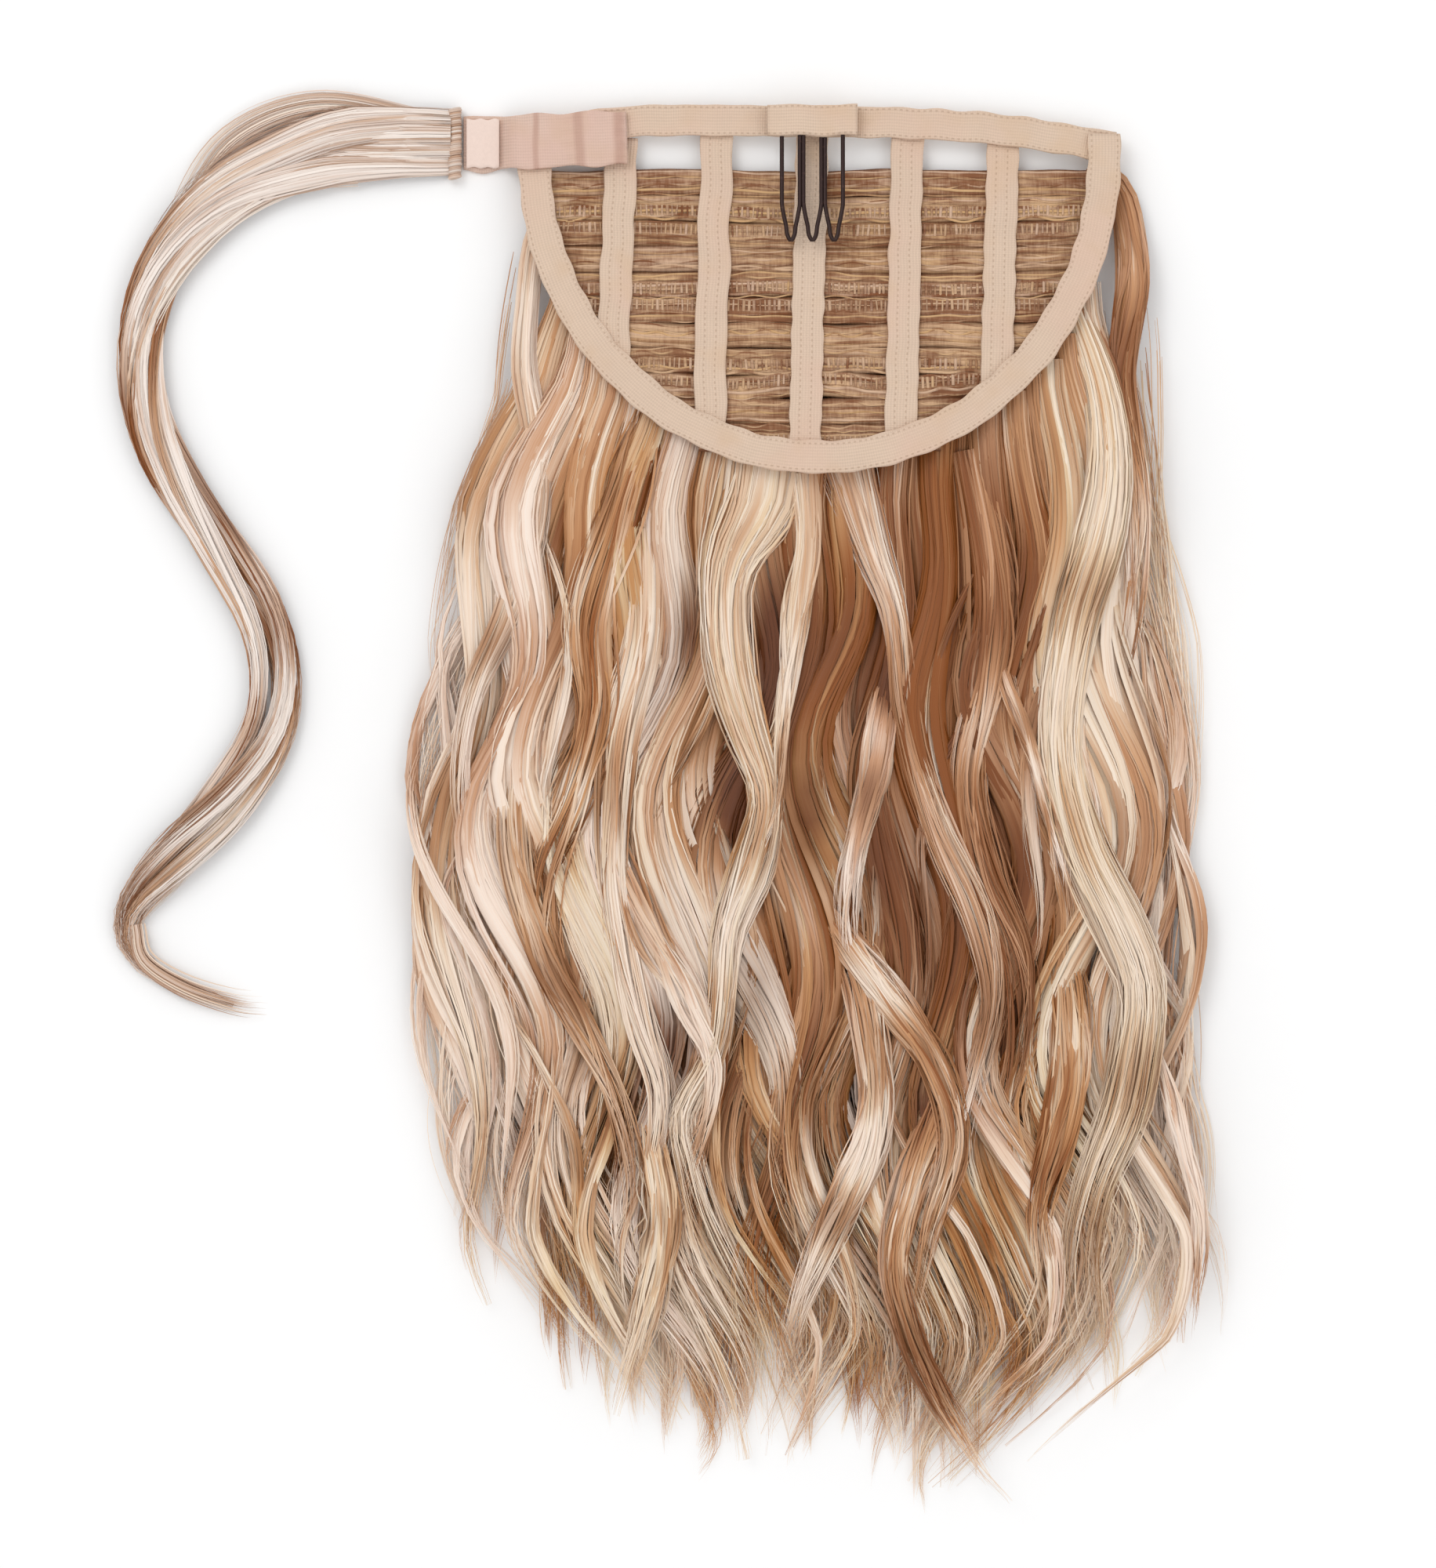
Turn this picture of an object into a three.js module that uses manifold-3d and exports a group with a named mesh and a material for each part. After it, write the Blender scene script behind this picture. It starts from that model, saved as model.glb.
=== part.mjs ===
// A wrap-round ponytail hairpiece, lying on its hair with the inside of its cap facing up.
// The cap is a D of tape: an elastic band along the top, a curved rim tape, straps between
// them and rows of sewn hair weft behind the straps. A wire comb sits in a sleeve on the band.
// A closure tab runs off the band's left end and carries the strand that wraps round the
// ponytail. Long wavy hair falls from the wefts in three layers, each of locks on a backing.
// Millimetres. +X runs along the band away from the tab, +Y from the hair's tips to the band,
// +Z up off the surface that the piece lies on.
import * as THREE from "three";
import { mergeVertices } from "three/addons/utils/BufferGeometryUtils.js";
import Module from "manifold-3d";

const wasm = await Module();
wasm.setup();

// Driving sizes of the cap
const CAP_WIDTH = 154; // outer edge to outer edge of the rim tape
const CAP_DROP = 82.4; // from the rim's widest line down to its lowest outer edge
const TAPE_WIDTH = 8.4;
const TAPE_THICK = 1.1;
const BAND_WIDTH = 8;
const BAND_THICK = 1.3;
const BAND_RISE = 8.4; // the band's middle line above the rim's widest line
const STRAP_COUNT = 5;
const STRAP_PITCH = 24.4;
const STRAP_WIDTH = 8.2;
const STRAP_THICK = 0.9;
const STRAP_SHIFT = -1.6; // the middle strap's place across the band
const STRAP_LEAN = 2.2; // how far each strap's foot lies left of its head
const PLY_GAP = 0.3; // between any two layers of cloth, weft or hair
const BAND_SEAT = 2.2; // height of the straps' heads over the surface
const RIM_LIFT = 18; // height of the straps' feet over the surface
const DISH_SAG = 3.6; // how far the middle of the cap sinks below its rim

// Driving sizes of the wefts
const WEFT_ROWS = 11;
const WEFT_TOP = 4; // first weft's upper edge below the rim's widest line
const WEFT_THICK = 1.5;
const WEFT_TRACK = 2.1; // width of the sewn track along each weft's upper edge
const WEFT_STEP = 0.5; // how far the hair below the track lies under it
const WEFT_TUCK = 3; // length of each weft's end under the rim tape

// Driving sizes of the comb and its sleeve
const COMB_LOOPS = 3;
const COMB_PITCH = 5.5;
const COMB_WIRE = 1.1;
const COMB_LENGTH = 30; // from the bar's lower edge to the tips
const COMB_TAPER = 10; // length of each loop's narrowing end
const COMB_TIP = 0.9; // half the width between the wires at a tip
const COMB_BAR_WIDTH = 3;
const COMB_SHIFT = -1.7; // the comb's middle across the band
const COMB_CLIMB = 2.4; // how far the tips stand above the bar
const SLEEVE_LENGTH = 23;
const SLEEVE_WALL = 0.7;

// Driving sizes of the closure tab and the wrap strand
const TAB_REACH = 14; // tab beyond the rim tape's outer edge
const TAB_LAP = 28; // tab sewn down over the band
const TAB_WIDTH = 14;
const TAB_THICK = 1.3;
const TAB_RISE = 3; // the tab's middle line above the rim's widest line
const TAB_FLAT = 10; // length of the tab that lies flat at its free end
const HOOK_INSET = 0.8; // bare margin round the hook strip
const HOOK_THICK = 0.9;
const SEAM_WIDTH = 3.8;
const SEAM_LENGTH = 19;
const SEAM_THICK = 4.2;
const WRAP_REACH = 84; // how far the strand swings out from the tab
const WRAP_DROP = 221; // how far its tip lies below the tab
const WRAP_WIDTH = 21;
const WRAP_THICK = 5.4;

// Driving sizes of the hair
const HAIR_FALL = 344; // from the rim's widest line to the longest tips
const HAIR_HALF = 100; // half of the fall's greatest spread
const LAYER_THICK = 5; // height of a layer's locks at the rim
const LAYER_THIN = 0.42; // share of that height lost on the way to the tips
const BACKING_THICK = 1.7;
const BACKING_INSET = 7; // the backing's edge inside the outermost locks
const BACKING_TEETH = 14; // points along the backing's ragged hem
const LOCK_WIDE = 18;
const LOCK_SWING = 7;
const LOCK_TURNS = 3.1; // waves of a lock over the whole fall
const LOCK_TIP = 1; // width and height that a tip keeps

// Sizes that follow from them
const RIM_HALF = (CAP_WIDTH - TAPE_WIDTH) / 2;
const RIM_DEEP = CAP_DROP - TAPE_WIDTH / 2;
const RAMP_LENGTH = BAND_RISE + RIM_DEEP;
const BAND_LEVEL = STRAP_THICK + PLY_GAP; // band and rim tape over the straps
const HAIR_CLEAR = PLY_GAP + WEFT_THICK + PLY_GAP; // hair under the straps' underside
const WEFT_PITCH = (RIM_DEEP - WEFT_TOP - TAPE_WIDTH / 4) / WEFT_ROWS;
const TAB_END = -(CAP_WIDTH / 2 + TAB_REACH);

// How the fall spreads, as shares: down the fall, and of HAIR_HALF to the left and right.
const FAN = [
  { down: 0.0, left: -0.7, right: 0.76 },
  { down: 0.06, left: -0.78, right: 0.84 },
  { down: 0.18, left: -0.8, right: 0.84 },
  { down: 0.26, left: -0.89, right: 0.86 },
  { down: 0.36, left: -0.97, right: 0.92 },
  { down: 0.47, left: -1.01, right: 0.95 },
  { down: 0.6, left: -0.96, right: 0.92 },
  { down: 0.7, left: -0.94, right: 0.93 },
  { down: 0.8, left: -0.9, right: 1.02 },
  { down: 0.88, left: -0.78, right: 0.98 },
  { down: 1.0, left: -0.58, right: 0.6 },
];

// Where the locks end across the fall: -1 and 1 are its edges, and reach is a share of HAIR_FALL.
const HEM = [
  { across: -1, reach: 0.88 },
  { across: -0.8, reach: 0.93 },
  { across: -0.5, reach: 0.97 },
  { across: -0.1, reach: 0.965 },
  { across: 0.3, reach: 0.975 },
  { across: 0.55, reach: 1.0 },
  { across: 0.75, reach: 0.94 },
  { across: 1, reach: 0.9 },
];

// The hair's layers from the surface up: the share of the fan that a layer spans, its number of
// locks, their width as a share of LOCK_WIDE and how much shorter its locks are than the hem.
const LAYERS = [
  { name: "hair_outer_layer", span: 1.0, locks: 13, width: 0.89, shorter: 0.0, phase: 0.1 },
  { name: "hair_middle_layer", span: 0.9, locks: 10, width: 0.83, shorter: 0.01, phase: 0.45 },
];

// The inner layer's locks, which lie on top. head and tip are places across the fall, from -1
// to 1, reach is a share of the hem's, width one of LOCK_WIDE and swing one of LOCK_SWING.
const INNER_NAME = "hair_inner_layer";
const INNER_SPAN = 0.84;
const INNER_LOCKS = [
  { head: -0.82, tip: -0.78, reach: 0.9, width: 0.75, swing: 0.9, turns: 1.0, phase: 0.35 },
  { head: -0.6, tip: -0.52, reach: 0.97, width: 0.85, swing: 1.2, turns: 0.9, phase: 0.6 },
  { head: -0.4, tip: -0.36, reach: 0.94, width: 0.9, swing: 1.0, turns: 1.1, phase: 0.2 },
  { head: -0.14, tip: -0.12, reach: 0.95, width: 1.15, swing: 1.2, turns: 0.85, phase: 0.12 },
  { head: 0.06, tip: 0.1, reach: 0.96, width: 0.8, swing: 0.9, turns: 1.0, phase: 0.85 },
  { head: 0.24, tip: 0.55, reach: 1.0, width: 0.9, swing: 0.8, turns: 0.9, phase: 0.75 },
  { head: 0.44, tip: 0.52, reach: 0.93, width: 1.0, swing: 1.0, turns: 1.1, phase: 0.4 },
  { head: 0.64, tip: 0.66, reach: 0.96, width: 0.85, swing: 0.9, turns: 0.95, phase: 0.05 },
  { head: 0.84, tip: 0.82, reach: 0.97, width: 0.9, swing: 1.4, turns: 0.9, phase: 0.2 },
];

// The wrap strand's middle line and width, from the seam to the tip, as shares of its sizes.
const WRAP_ROUTE = [
  { out: 0.0, down: 0.0, width: 0.88 },
  { out: 0.16, down: 0.0, width: 0.9 },
  { out: 0.4, down: 0.01, width: 1.0 },
  { out: 0.64, down: 0.05, width: 0.9 },
  { out: 0.81, down: 0.11, width: 0.72 },
  { out: 0.9, down: 0.18, width: 0.64 },
  { out: 0.93, down: 0.25, width: 0.62 },
  { out: 0.9, down: 0.33, width: 0.64 },
  { out: 0.81, down: 0.4, width: 0.66 },
  { out: 0.68, down: 0.475, width: 0.68 },
  { out: 0.56, down: 0.55, width: 0.68 },
  { out: 0.52, down: 0.62, width: 0.66 },
  { out: 0.55, down: 0.69, width: 0.68 },
  { out: 0.67, down: 0.76, width: 0.76 },
  { out: 0.83, down: 0.83, width: 0.72 },
  { out: 0.96, down: 0.89, width: 0.42 },
  { out: 0.96, down: 0.93, width: 0.3 },
  { out: 0.87, down: 0.965, width: 0.22 },
  { out: 0.64, down: 1.0, width: 0.06 },
];

const clamp = THREE.MathUtils.clamp;
const lerp = THREE.MathUtils.lerp;
const smooth = (value, low, high) => THREE.MathUtils.smoothstep(value, low, high);

// Reads a column of a table of rows between the rows on either side of a place.
function between(rows, key, column, place) {
  const last = rows.length - 1;
  const next = clamp(rows.findIndex((row) => row[key] >= place), 1, last);
  const low = rows[place > rows[last][key] ? last - 1 : next - 1];
  const high = rows[place > rows[last][key] ? last : next];
  const share = clamp((place - low[key]) / (high[key] - low[key]), 0, 1);
  return lerp(low[column], high[column], share);
}

// Half the width between the rim tape's middle lines at a height on the cap.
function rimHalf(y) {
  return RIM_HALF * Math.sqrt(Math.max(0, 1 - (Math.min(y, 0) / RIM_DEEP) ** 2));
}

// Height of the straps' underside: a ramp from band to rim with a shallow dish in its middle.
function capHeight(x, y) {
  const down = Math.max(0, (BAND_RISE - y) / RAMP_LENGTH);
  const across = Math.min(1, Math.abs(x) / Math.max(1, rimHalf(y)));
  const dish = Math.sin(Math.PI * Math.min(down, 1)) ** 1.5 * (1 - across ** 2);
  return BAND_SEAT + (RIM_LIFT - BAND_SEAT) * down - DISH_SAG * dish;
}

// Tells whether a point lies under the cap, the rim tape's outer edge included.
function underCap(x, y) {
  const edge = TAPE_WIDTH / 2 + PLY_GAP;
  return (x / (RIM_HALF + edge)) ** 2 + (Math.min(y, 0) / (RIM_DEEP + edge)) ** 2 < 1;
}

// A closed body lofted through rings of [x, y, z] corners, each ring with as many corners.
function loft(rings) {
  const sides = rings[0].length;
  const index = [];
  for (let ring = 0; ring < rings.length - 1; ring++) {
    for (let side = 0; side < sides; side++) {
      const near = ring * sides + side;
      const beside = ring * sides + ((side + 1) % sides);
      index.push(near, beside, near + sides, beside, beside + sides, near + sides);
    }
  }
  const last = (rings.length - 1) * sides;
  for (let side = 1; side < sides - 1; side++) {
    index.push(0, side + 1, side, last, last + side, last + side + 1);
  }
  const geometry = new THREE.BufferGeometry();
  geometry.setAttribute("position", new THREE.Float32BufferAttribute(rings.flat(2), 3));
  geometry.setIndex(index);
  return geometry;
}

// The solid of a closed geometry, for joining and cutting.
function solidOf(geometry) {
  const bare = new THREE.BufferGeometry();
  bare.setAttribute("position", geometry.getAttribute("position"));
  if (geometry.index) {
    bare.setIndex(geometry.index);
  }
  const merged = mergeVertices(bare, 1e-4);
  const vertProperties = new Float32Array(merged.getAttribute("position").array);
  const triVerts = new Uint32Array(merged.index.array);
  return new wasm.Manifold(new wasm.Mesh({ numProp: 3, vertProperties, triVerts }));
}

// The geometry of a solid.
function geometryOf(solid) {
  const mesh = solid.getMesh();
  const geometry = new THREE.BufferGeometry();
  geometry.setAttribute("position", new THREE.BufferAttribute(mesh.vertProperties, 3));
  geometry.setIndex(new THREE.BufferAttribute(mesh.triVerts, 1));
  return geometry;
}

// A flat tape through stations of { x, y, aside: [x, y], half }, its underside at level(x, y).
function tape(stations, thick, level) {
  return loft(
    stations.map(({ x, y, aside, half }) => {
      const corner = (side, raise) => {
        const px = x + side * half * aside[0];
        const py = y + side * half * aside[1];
        return [px, py, level(px, py) + raise];
      };
      return [corner(-1, 0), corner(1, 0), corner(1, thick), corner(-1, thick)];
    }),
  );
}

const cloth = new THREE.MeshStandardMaterial({ color: 0xdfbc9e, roughness: 0.85 });
const tabCloth = new THREE.MeshStandardMaterial({ color: 0xe3c4b2, roughness: 0.85 });
const hookCloth = new THREE.MeshStandardMaterial({ color: 0xf0d8cd, roughness: 0.95 });
const combWire = new THREE.MeshStandardMaterial({ color: 0x2e1c18, roughness: 0.4, metalness: 0.6 });
const weftHair = new THREE.MeshStandardMaterial({ color: 0xa57a55, roughness: 0.6 });
const fallHair = new THREE.MeshStandardMaterial({ color: 0xc79f7b, roughness: 0.5 });
const wrapHair = new THREE.MeshStandardMaterial({ color: 0xd3b59d, roughness: 0.5 });

const hairpiece = new THREE.Group();

function addPiece(name, geometry, material) {
  const mesh = new THREE.Mesh(geometry, material);
  mesh.name = name;
  hairpiece.add(mesh);
  return mesh;
}

// The band's middle line, which droops towards the free corner and towards the tab.
const bandLine = new THREE.CatmullRomCurve3([
  new THREE.Vector3(-RIM_HALF - TAPE_WIDTH / 4, TAB_RISE, 0),
  new THREE.Vector3(-0.66 * RIM_HALF, BAND_RISE, 0),
  new THREE.Vector3(0, BAND_RISE, 0),
  new THREE.Vector3(0.6 * RIM_HALF, 0.78 * BAND_RISE, 0),
  new THREE.Vector3(RIM_HALF + TAPE_WIDTH / 3, 0.22 * BAND_RISE, 0),
]);

// Steps along a curve in the cap's plane, each with the direction across it.
function curveStations(curve, steps, half) {
  return Array.from({ length: steps + 1 }, (_, step) => {
    const point = curve.getPoint(step / steps);
    const along = curve.getTangent(step / steps);
    return { x: point.x, y: point.y, aside: [-along.y, along.x], half };
  });
}

function makeBand() {
  const level = (x, y) => capHeight(x, y) + BAND_LEVEL;
  return tape(curveStations(bandLine, 22, BAND_WIDTH / 2), BAND_THICK, level);
}

// The rim tape runs down from below the tab, round the cap and up over the band's free end.
function makeRim() {
  const steps = 34;
  const head = TAB_RISE - BAND_WIDTH / 2 - 2 * PLY_GAP;
  const foot = 0.6 * BAND_RISE;
  const stations = [];
  const first = Math.PI - Math.asin(head / RIM_DEEP);
  for (let step = 0; step <= steps; step++) {
    const angle = lerp(first, 2 * Math.PI, step / steps);
    const x = RIM_HALF * Math.cos(angle);
    const y = RIM_DEEP * Math.sin(angle);
    const normal = new THREE.Vector2(x / RIM_HALF ** 2, y / RIM_DEEP ** 2).normalize();
    stations.push({ x, y, aside: [-normal.x, -normal.y], half: TAPE_WIDTH / 2 });
  }
  stations.push({ x: RIM_HALF, y: foot, aside: [-1, 0], half: TAPE_WIDTH / 2 });
  const overBand = (x, y) =>
    x > 0 ? (BAND_THICK + PLY_GAP) * smooth(y, -2 * TAPE_WIDTH, -0.6 * TAPE_WIDTH) : 0;
  const level = (x, y) => capHeight(x, y) + BAND_LEVEL + overBand(x, y);
  return tape(stations, TAPE_THICK, level);
}

// Each strap runs from under the band to under the rim tape and follows the dish.
function makeStrap(place) {
  const steps = 12;
  const head = STRAP_SHIFT + place * STRAP_PITCH;
  const foot = head - STRAP_LEAN;
  const top = BAND_RISE - 0.25 * BAND_WIDTH - 0.25 * BAND_RISE * Math.abs(place / 2) ** 2;
  const bottom = -RIM_DEEP * Math.sqrt(1 - (foot / RIM_HALF) ** 2) + 0.1 * TAPE_WIDTH;
  const stations = [];
  for (let step = 0; step <= steps; step++) {
    const share = step / steps;
    const x = lerp(head, foot, share);
    stations.push({ x, y: lerp(top, bottom, share), aside: [1, 0], half: STRAP_WIDTH / 2 });
  }
  return tape(stations, STRAP_THICK, capHeight);
}

// One row of weft: a raised sewn track with a flatter band of hair below it, which follows
// the dish and ends under the rim tape on both sides.
function makeWeft(row) {
  const steps = 8;
  const upper = -WEFT_TOP - row * WEFT_PITCH;
  const lower = upper - WEFT_PITCH + PLY_GAP;
  const section = [
    { y: upper - WEFT_TRACK, drop: WEFT_STEP },
    { y: lower, drop: 1.3 * WEFT_STEP },
    { y: lower, drop: WEFT_THICK },
    { y: upper, drop: WEFT_THICK },
    { y: upper, drop: 0 },
    { y: upper - WEFT_TRACK, drop: 0 },
  ];
  const inner = TAPE_WIDTH / 2;
  const endHalf = (y) => {
    const deep = Math.sqrt(Math.max(0, 1 - (y / (RIM_DEEP - inner + WEFT_TUCK)) ** 2));
    return (RIM_HALF - inner + WEFT_TUCK) * Math.max(0.12, deep);
  };
  const rings = [];
  for (let step = 0; step <= steps; step++) {
    const across = lerp(-1, 1, step / steps);
    rings.push(
      section.map(({ y, drop }) => {
        const x = across * endHalf(y);
        return [x, y, capHeight(x, y) - PLY_GAP - drop];
      }),
    );
  }
  return loft(rings);
}

// The comb: one bent wire in pointed loops, soldered to a flat bar.
function combBase() {
  const bandTop = capHeight(COMB_SHIFT, BAND_RISE - BAND_WIDTH / 2) + BAND_LEVEL + BAND_THICK;
  return bandTop + PLY_GAP + SLEEVE_WALL + PLY_GAP;
}

function makeComb() {
  const barLow = BAND_RISE - COMB_BAR_WIDTH / 2;
  const middle = combBase() + COMB_WIRE / 2;
  const wide = COMB_LOOPS * COMB_PITCH;
  const sides = 6;
  const corners = Array.from({ length: sides }, (_, side) => {
    const turn = (2 * Math.PI * (side + 0.5)) / sides;
    return new THREE.Vector2(Math.cos(turn), Math.sin(turn)).multiplyScalar(COMB_WIRE / 2);
  });
  const section = new THREE.Shape(corners);
  const bar = new THREE.BoxGeometry(wide, COMB_BAR_WIDTH, COMB_WIRE);
  bar.translate(COMB_SHIFT, BAND_RISE, middle);
  let comb = solidOf(bar);
  for (let loop = 0; loop < COMB_LOOPS; loop++) {
    const centre = COMB_SHIFT + (loop - (COMB_LOOPS - 1) / 2) * COMB_PITCH;
    const half = COMB_PITCH / 2 - 0.42 * COMB_WIRE;
    const place = (side, share) => {
      const down = share * COMB_LENGTH;
      const closing = smooth(down, COMB_LENGTH - COMB_TAPER, COMB_LENGTH - COMB_TIP);
      const x = centre + side * lerp(half, COMB_TIP, closing);
      return new THREE.Vector3(x, barLow + COMB_WIRE - down, middle + COMB_CLIMB * share ** 2);
    };
    const wire = new THREE.CatmullRomCurve3([
      place(-1, 0),
      place(-1, 0.35),
      place(-1, 0.66),
      place(-1, 0.83),
      place(-1, 0.96),
      place(0, 1).add(new THREE.Vector3(0, -COMB_WIRE / 2, 0)),
      place(1, 0.96),
      place(1, 0.83),
      place(1, 0.66),
      place(1, 0.35),
      place(1, 0),
    ]);
    const bent = new THREE.ExtrudeGeometry(section, { steps: 18, extrudePath: wire });
    comb = comb.add(solidOf(bent));
  }
  return geometryOf(comb);
}

// The sleeve is a flat pocket on the band, open downwards, that holds the comb's bar.
function makeSleeve() {
  const tall = 2 * SLEEVE_WALL + 2 * PLY_GAP + COMB_WIRE;
  const floor = combBase() - PLY_GAP - SLEEVE_WALL;
  const outer = new THREE.BoxGeometry(SLEEVE_LENGTH, BAND_WIDTH, tall);
  outer.translate(COMB_SHIFT, BAND_RISE, floor + tall / 2);
  const pocketLong = COMB_LOOPS * COMB_PITCH + 4 * PLY_GAP + COMB_WIRE;
  const pocketDeep = (BAND_WIDTH + COMB_BAR_WIDTH) / 2 + 2 * PLY_GAP;
  const pocket = new THREE.BoxGeometry(pocketLong, pocketDeep, COMB_WIRE + 2 * PLY_GAP);
  const pocketMiddle = BAND_RISE + COMB_BAR_WIDTH / 2 + PLY_GAP - pocketDeep / 2;
  pocket.translate(COMB_SHIFT, pocketMiddle, floor + tall / 2);
  return geometryOf(solidOf(outer).subtract(solidOf(pocket)));
}

// The closure tab lies on the surface at its free end and climbs onto the band.
function makeTab() {
  const laps = 8;
  const climb = -CAP_WIDTH / 2 - 2 * PLY_GAP;
  const flatEnd = TAB_END + TAB_FLAT;
  const stations = [TAB_END, flatEnd].map((x) => {
    return { x, y: TAB_RISE, aside: [0, 1], half: TAB_WIDTH / 2 };
  });
  for (let lap = 0; lap <= laps; lap++) {
    const x = lerp(climb, -CAP_WIDTH / 2 + TAB_LAP, lap / laps);
    const y = TAB_RISE * lerp(1, 1.4, lap / laps);
    stations.push({ x, y, aside: [0, 1], half: TAB_WIDTH / 2 });
  }
  const onBand = (x, y) => capHeight(x, y) + BAND_LEVEL + BAND_THICK + PLY_GAP;
  return tape(stations, TAB_THICK, (x, y) => (x > flatEnd ? onBand(x, y) : 0));
}

function makeHookStrip() {
  const long = TAB_FLAT - 2 * HOOK_INSET;
  const strip = new THREE.BoxGeometry(long, TAB_WIDTH - 2 * HOOK_INSET, HOOK_THICK);
  const lift = TAB_THICK + PLY_GAP + HOOK_THICK / 2;
  strip.translate(TAB_END + HOOK_INSET + long / 2, TAB_RISE, lift);
  return strip;
}

// The rolled seam that binds the wrap strand's cut end to the tab.
function makeWrapSeam() {
  const roll = new THREE.Shape();
  const half = SEAM_WIDTH / 2;
  roll.moveTo(-half, 0);
  roll.lineTo(half, 0);
  roll.lineTo(half, SEAM_THICK - half);
  roll.absarc(0, SEAM_THICK - half, half, 0, Math.PI, false);
  roll.closePath();
  const seam = new THREE.ExtrudeGeometry(roll, {
    depth: SEAM_LENGTH,
    steps: 1,
    curveSegments: 6,
    bevelEnabled: false,
  });
  seam.rotateX(Math.PI / 2);
  seam.translate(TAB_END - PLY_GAP - half, TAB_RISE + SEAM_LENGTH / 2, 0);
  return seam;
}

// A lock of hair: flat below and rounded above, lofted along a line of places. Each place is
// { x, y, wide, tall }, and room(x, y) is the height that a corner may reach there.
function lockSolid(places, room) {
  const profile = [
    { across: -1, rise: 0 },
    { across: 1, rise: 0 },
    { across: 0.7, rise: 0.78 },
    { across: 0, rise: 1 },
    { across: -0.7, rise: 0.78 },
  ];
  const rings = places.map((place, at) => {
    const before = places[Math.max(0, at - 1)];
    const after = places[Math.min(places.length - 1, at + 1)];
    const along = new THREE.Vector2(after.x - before.x, after.y - before.y).normalize();
    return profile.map(({ across, rise }) => {
      const x = place.x - (along.y * across * place.wide) / 2;
      const y = place.y + (along.x * across * place.wide) / 2;
      return [x, y, rise === 0 ? 0 : Math.max(0.5, Math.min(rise * place.tall, room(x, y)))];
    });
  });
  return solidOf(loft(rings));
}

// Height of a layer's locks and of the layer's underside, both straight lines down the fall.
const layerTall = (y) => LAYER_THICK * (1 + (LAYER_THIN * (y + RIM_DEEP)) / HAIR_FALL);
const layerFloor = (layer, y) => layer * (layerTall(y) + PLY_GAP);

// Height free for a layer's hair at a point, measured from the layer's underside.
function layerRoom(layer, x, y) {
  const free = layerTall(y);
  return underCap(x, y) ? Math.min(free, capHeight(x, y) - HAIR_CLEAR - layerFloor(layer, y)) : free;
}

// Place across the fall for a share from -1 to 1 at a share down it.
function fallX(across, down) {
  const left = between(FAN, "down", "left", down);
  const right = between(FAN, "down", "right", down);
  return HAIR_HALF * lerp(left, right, (across + 1) / 2);
}

// How far down the fall a layer starts at a place across it: where the cap leaves it room.
function rootDown(layer, across) {
  const most = (CAP_DROP + PLY_GAP) / HAIR_FALL;
  let down = (WEFT_TOP + PLY_GAP) / HAIR_FALL;
  while (down < most && layerRoom(layer, fallX(across, down), -down * HAIR_FALL) < BACKING_THICK) {
    down += 1 / HAIR_FALL;
  }
  return down;
}

// The places along one lock of a layer, from { head, tip, reach, width, swing, turns, phase }.
function lockPlaces(layer, span, lock) {
  const steps = 12;
  const start = rootDown(layer, span * lock.head);
  const end = between(HEM, "across", "reach", lock.tip) * lock.reach;
  return Array.from({ length: steps + 1 }, (_, step) => {
    const share = step / steps;
    const down = lerp(start, end, share);
    const across = span * lerp(lock.head, lock.tip, share);
    const wave = Math.sin(2 * Math.PI * (LOCK_TURNS * lock.turns * down + lock.phase));
    const swing = LOCK_SWING * lock.swing * smooth(share, 0, 0.3) * wave;
    const y = -down * HAIR_FALL;
    const tip = Math.sqrt(1 - share ** 5);
    const full = lock.width * LOCK_WIDE * lerp(0.9, 1, smooth(share, 0, 0.2));
    const wide = full * lerp(1, 0.75, share) * tip;
    const tall = layerTall(y) * Math.min(1, 0.7 + share) * tip;
    return {
      x: fallX(across, down) + swing,
      y,
      wide: Math.max(LOCK_TIP, wide),
      tall: Math.max(LOCK_TIP, tall),
    };
  });
}

// The thin mat that a layer's locks are fused to, which ends above the free tips.
function backingSolid(layer, span) {
  const steps = 12;
  const inset = 1 - BACKING_INSET / HAIR_HALF;
  const edge = [];
  for (let step = 0; step <= steps; step++) {
    const across = span * inset * lerp(-1, 1, step / steps);
    const down = rootDown(layer, across);
    edge.push([fallX(across, down), -down * HAIR_FALL]);
  }
  const sides = [0.3, 0.42, 0.56, 0.68];
  for (const down of sides) {
    edge.push([fallX(span * inset, down), -down * HAIR_FALL]);
  }
  for (let tooth = 0; tooth <= BACKING_TEETH; tooth++) {
    const across = span * inset * lerp(1, -1, tooth / BACKING_TEETH);
    const down = between(HEM, "across", "reach", across) * (tooth % 2 ? 0.9 : 0.78);
    edge.push([fallX(across, down), -down * HAIR_FALL]);
  }
  for (const down of sides.toReversed()) {
    edge.push([fallX(-span * inset, down), -down * HAIR_FALL]);
  }
  const outline = new THREE.Shape(edge.map(([x, y]) => new THREE.Vector2(x, y)));
  return solidOf(new THREE.ExtrudeGeometry(outline, { depth: BACKING_THICK, bevelEnabled: false }));
}

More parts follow.
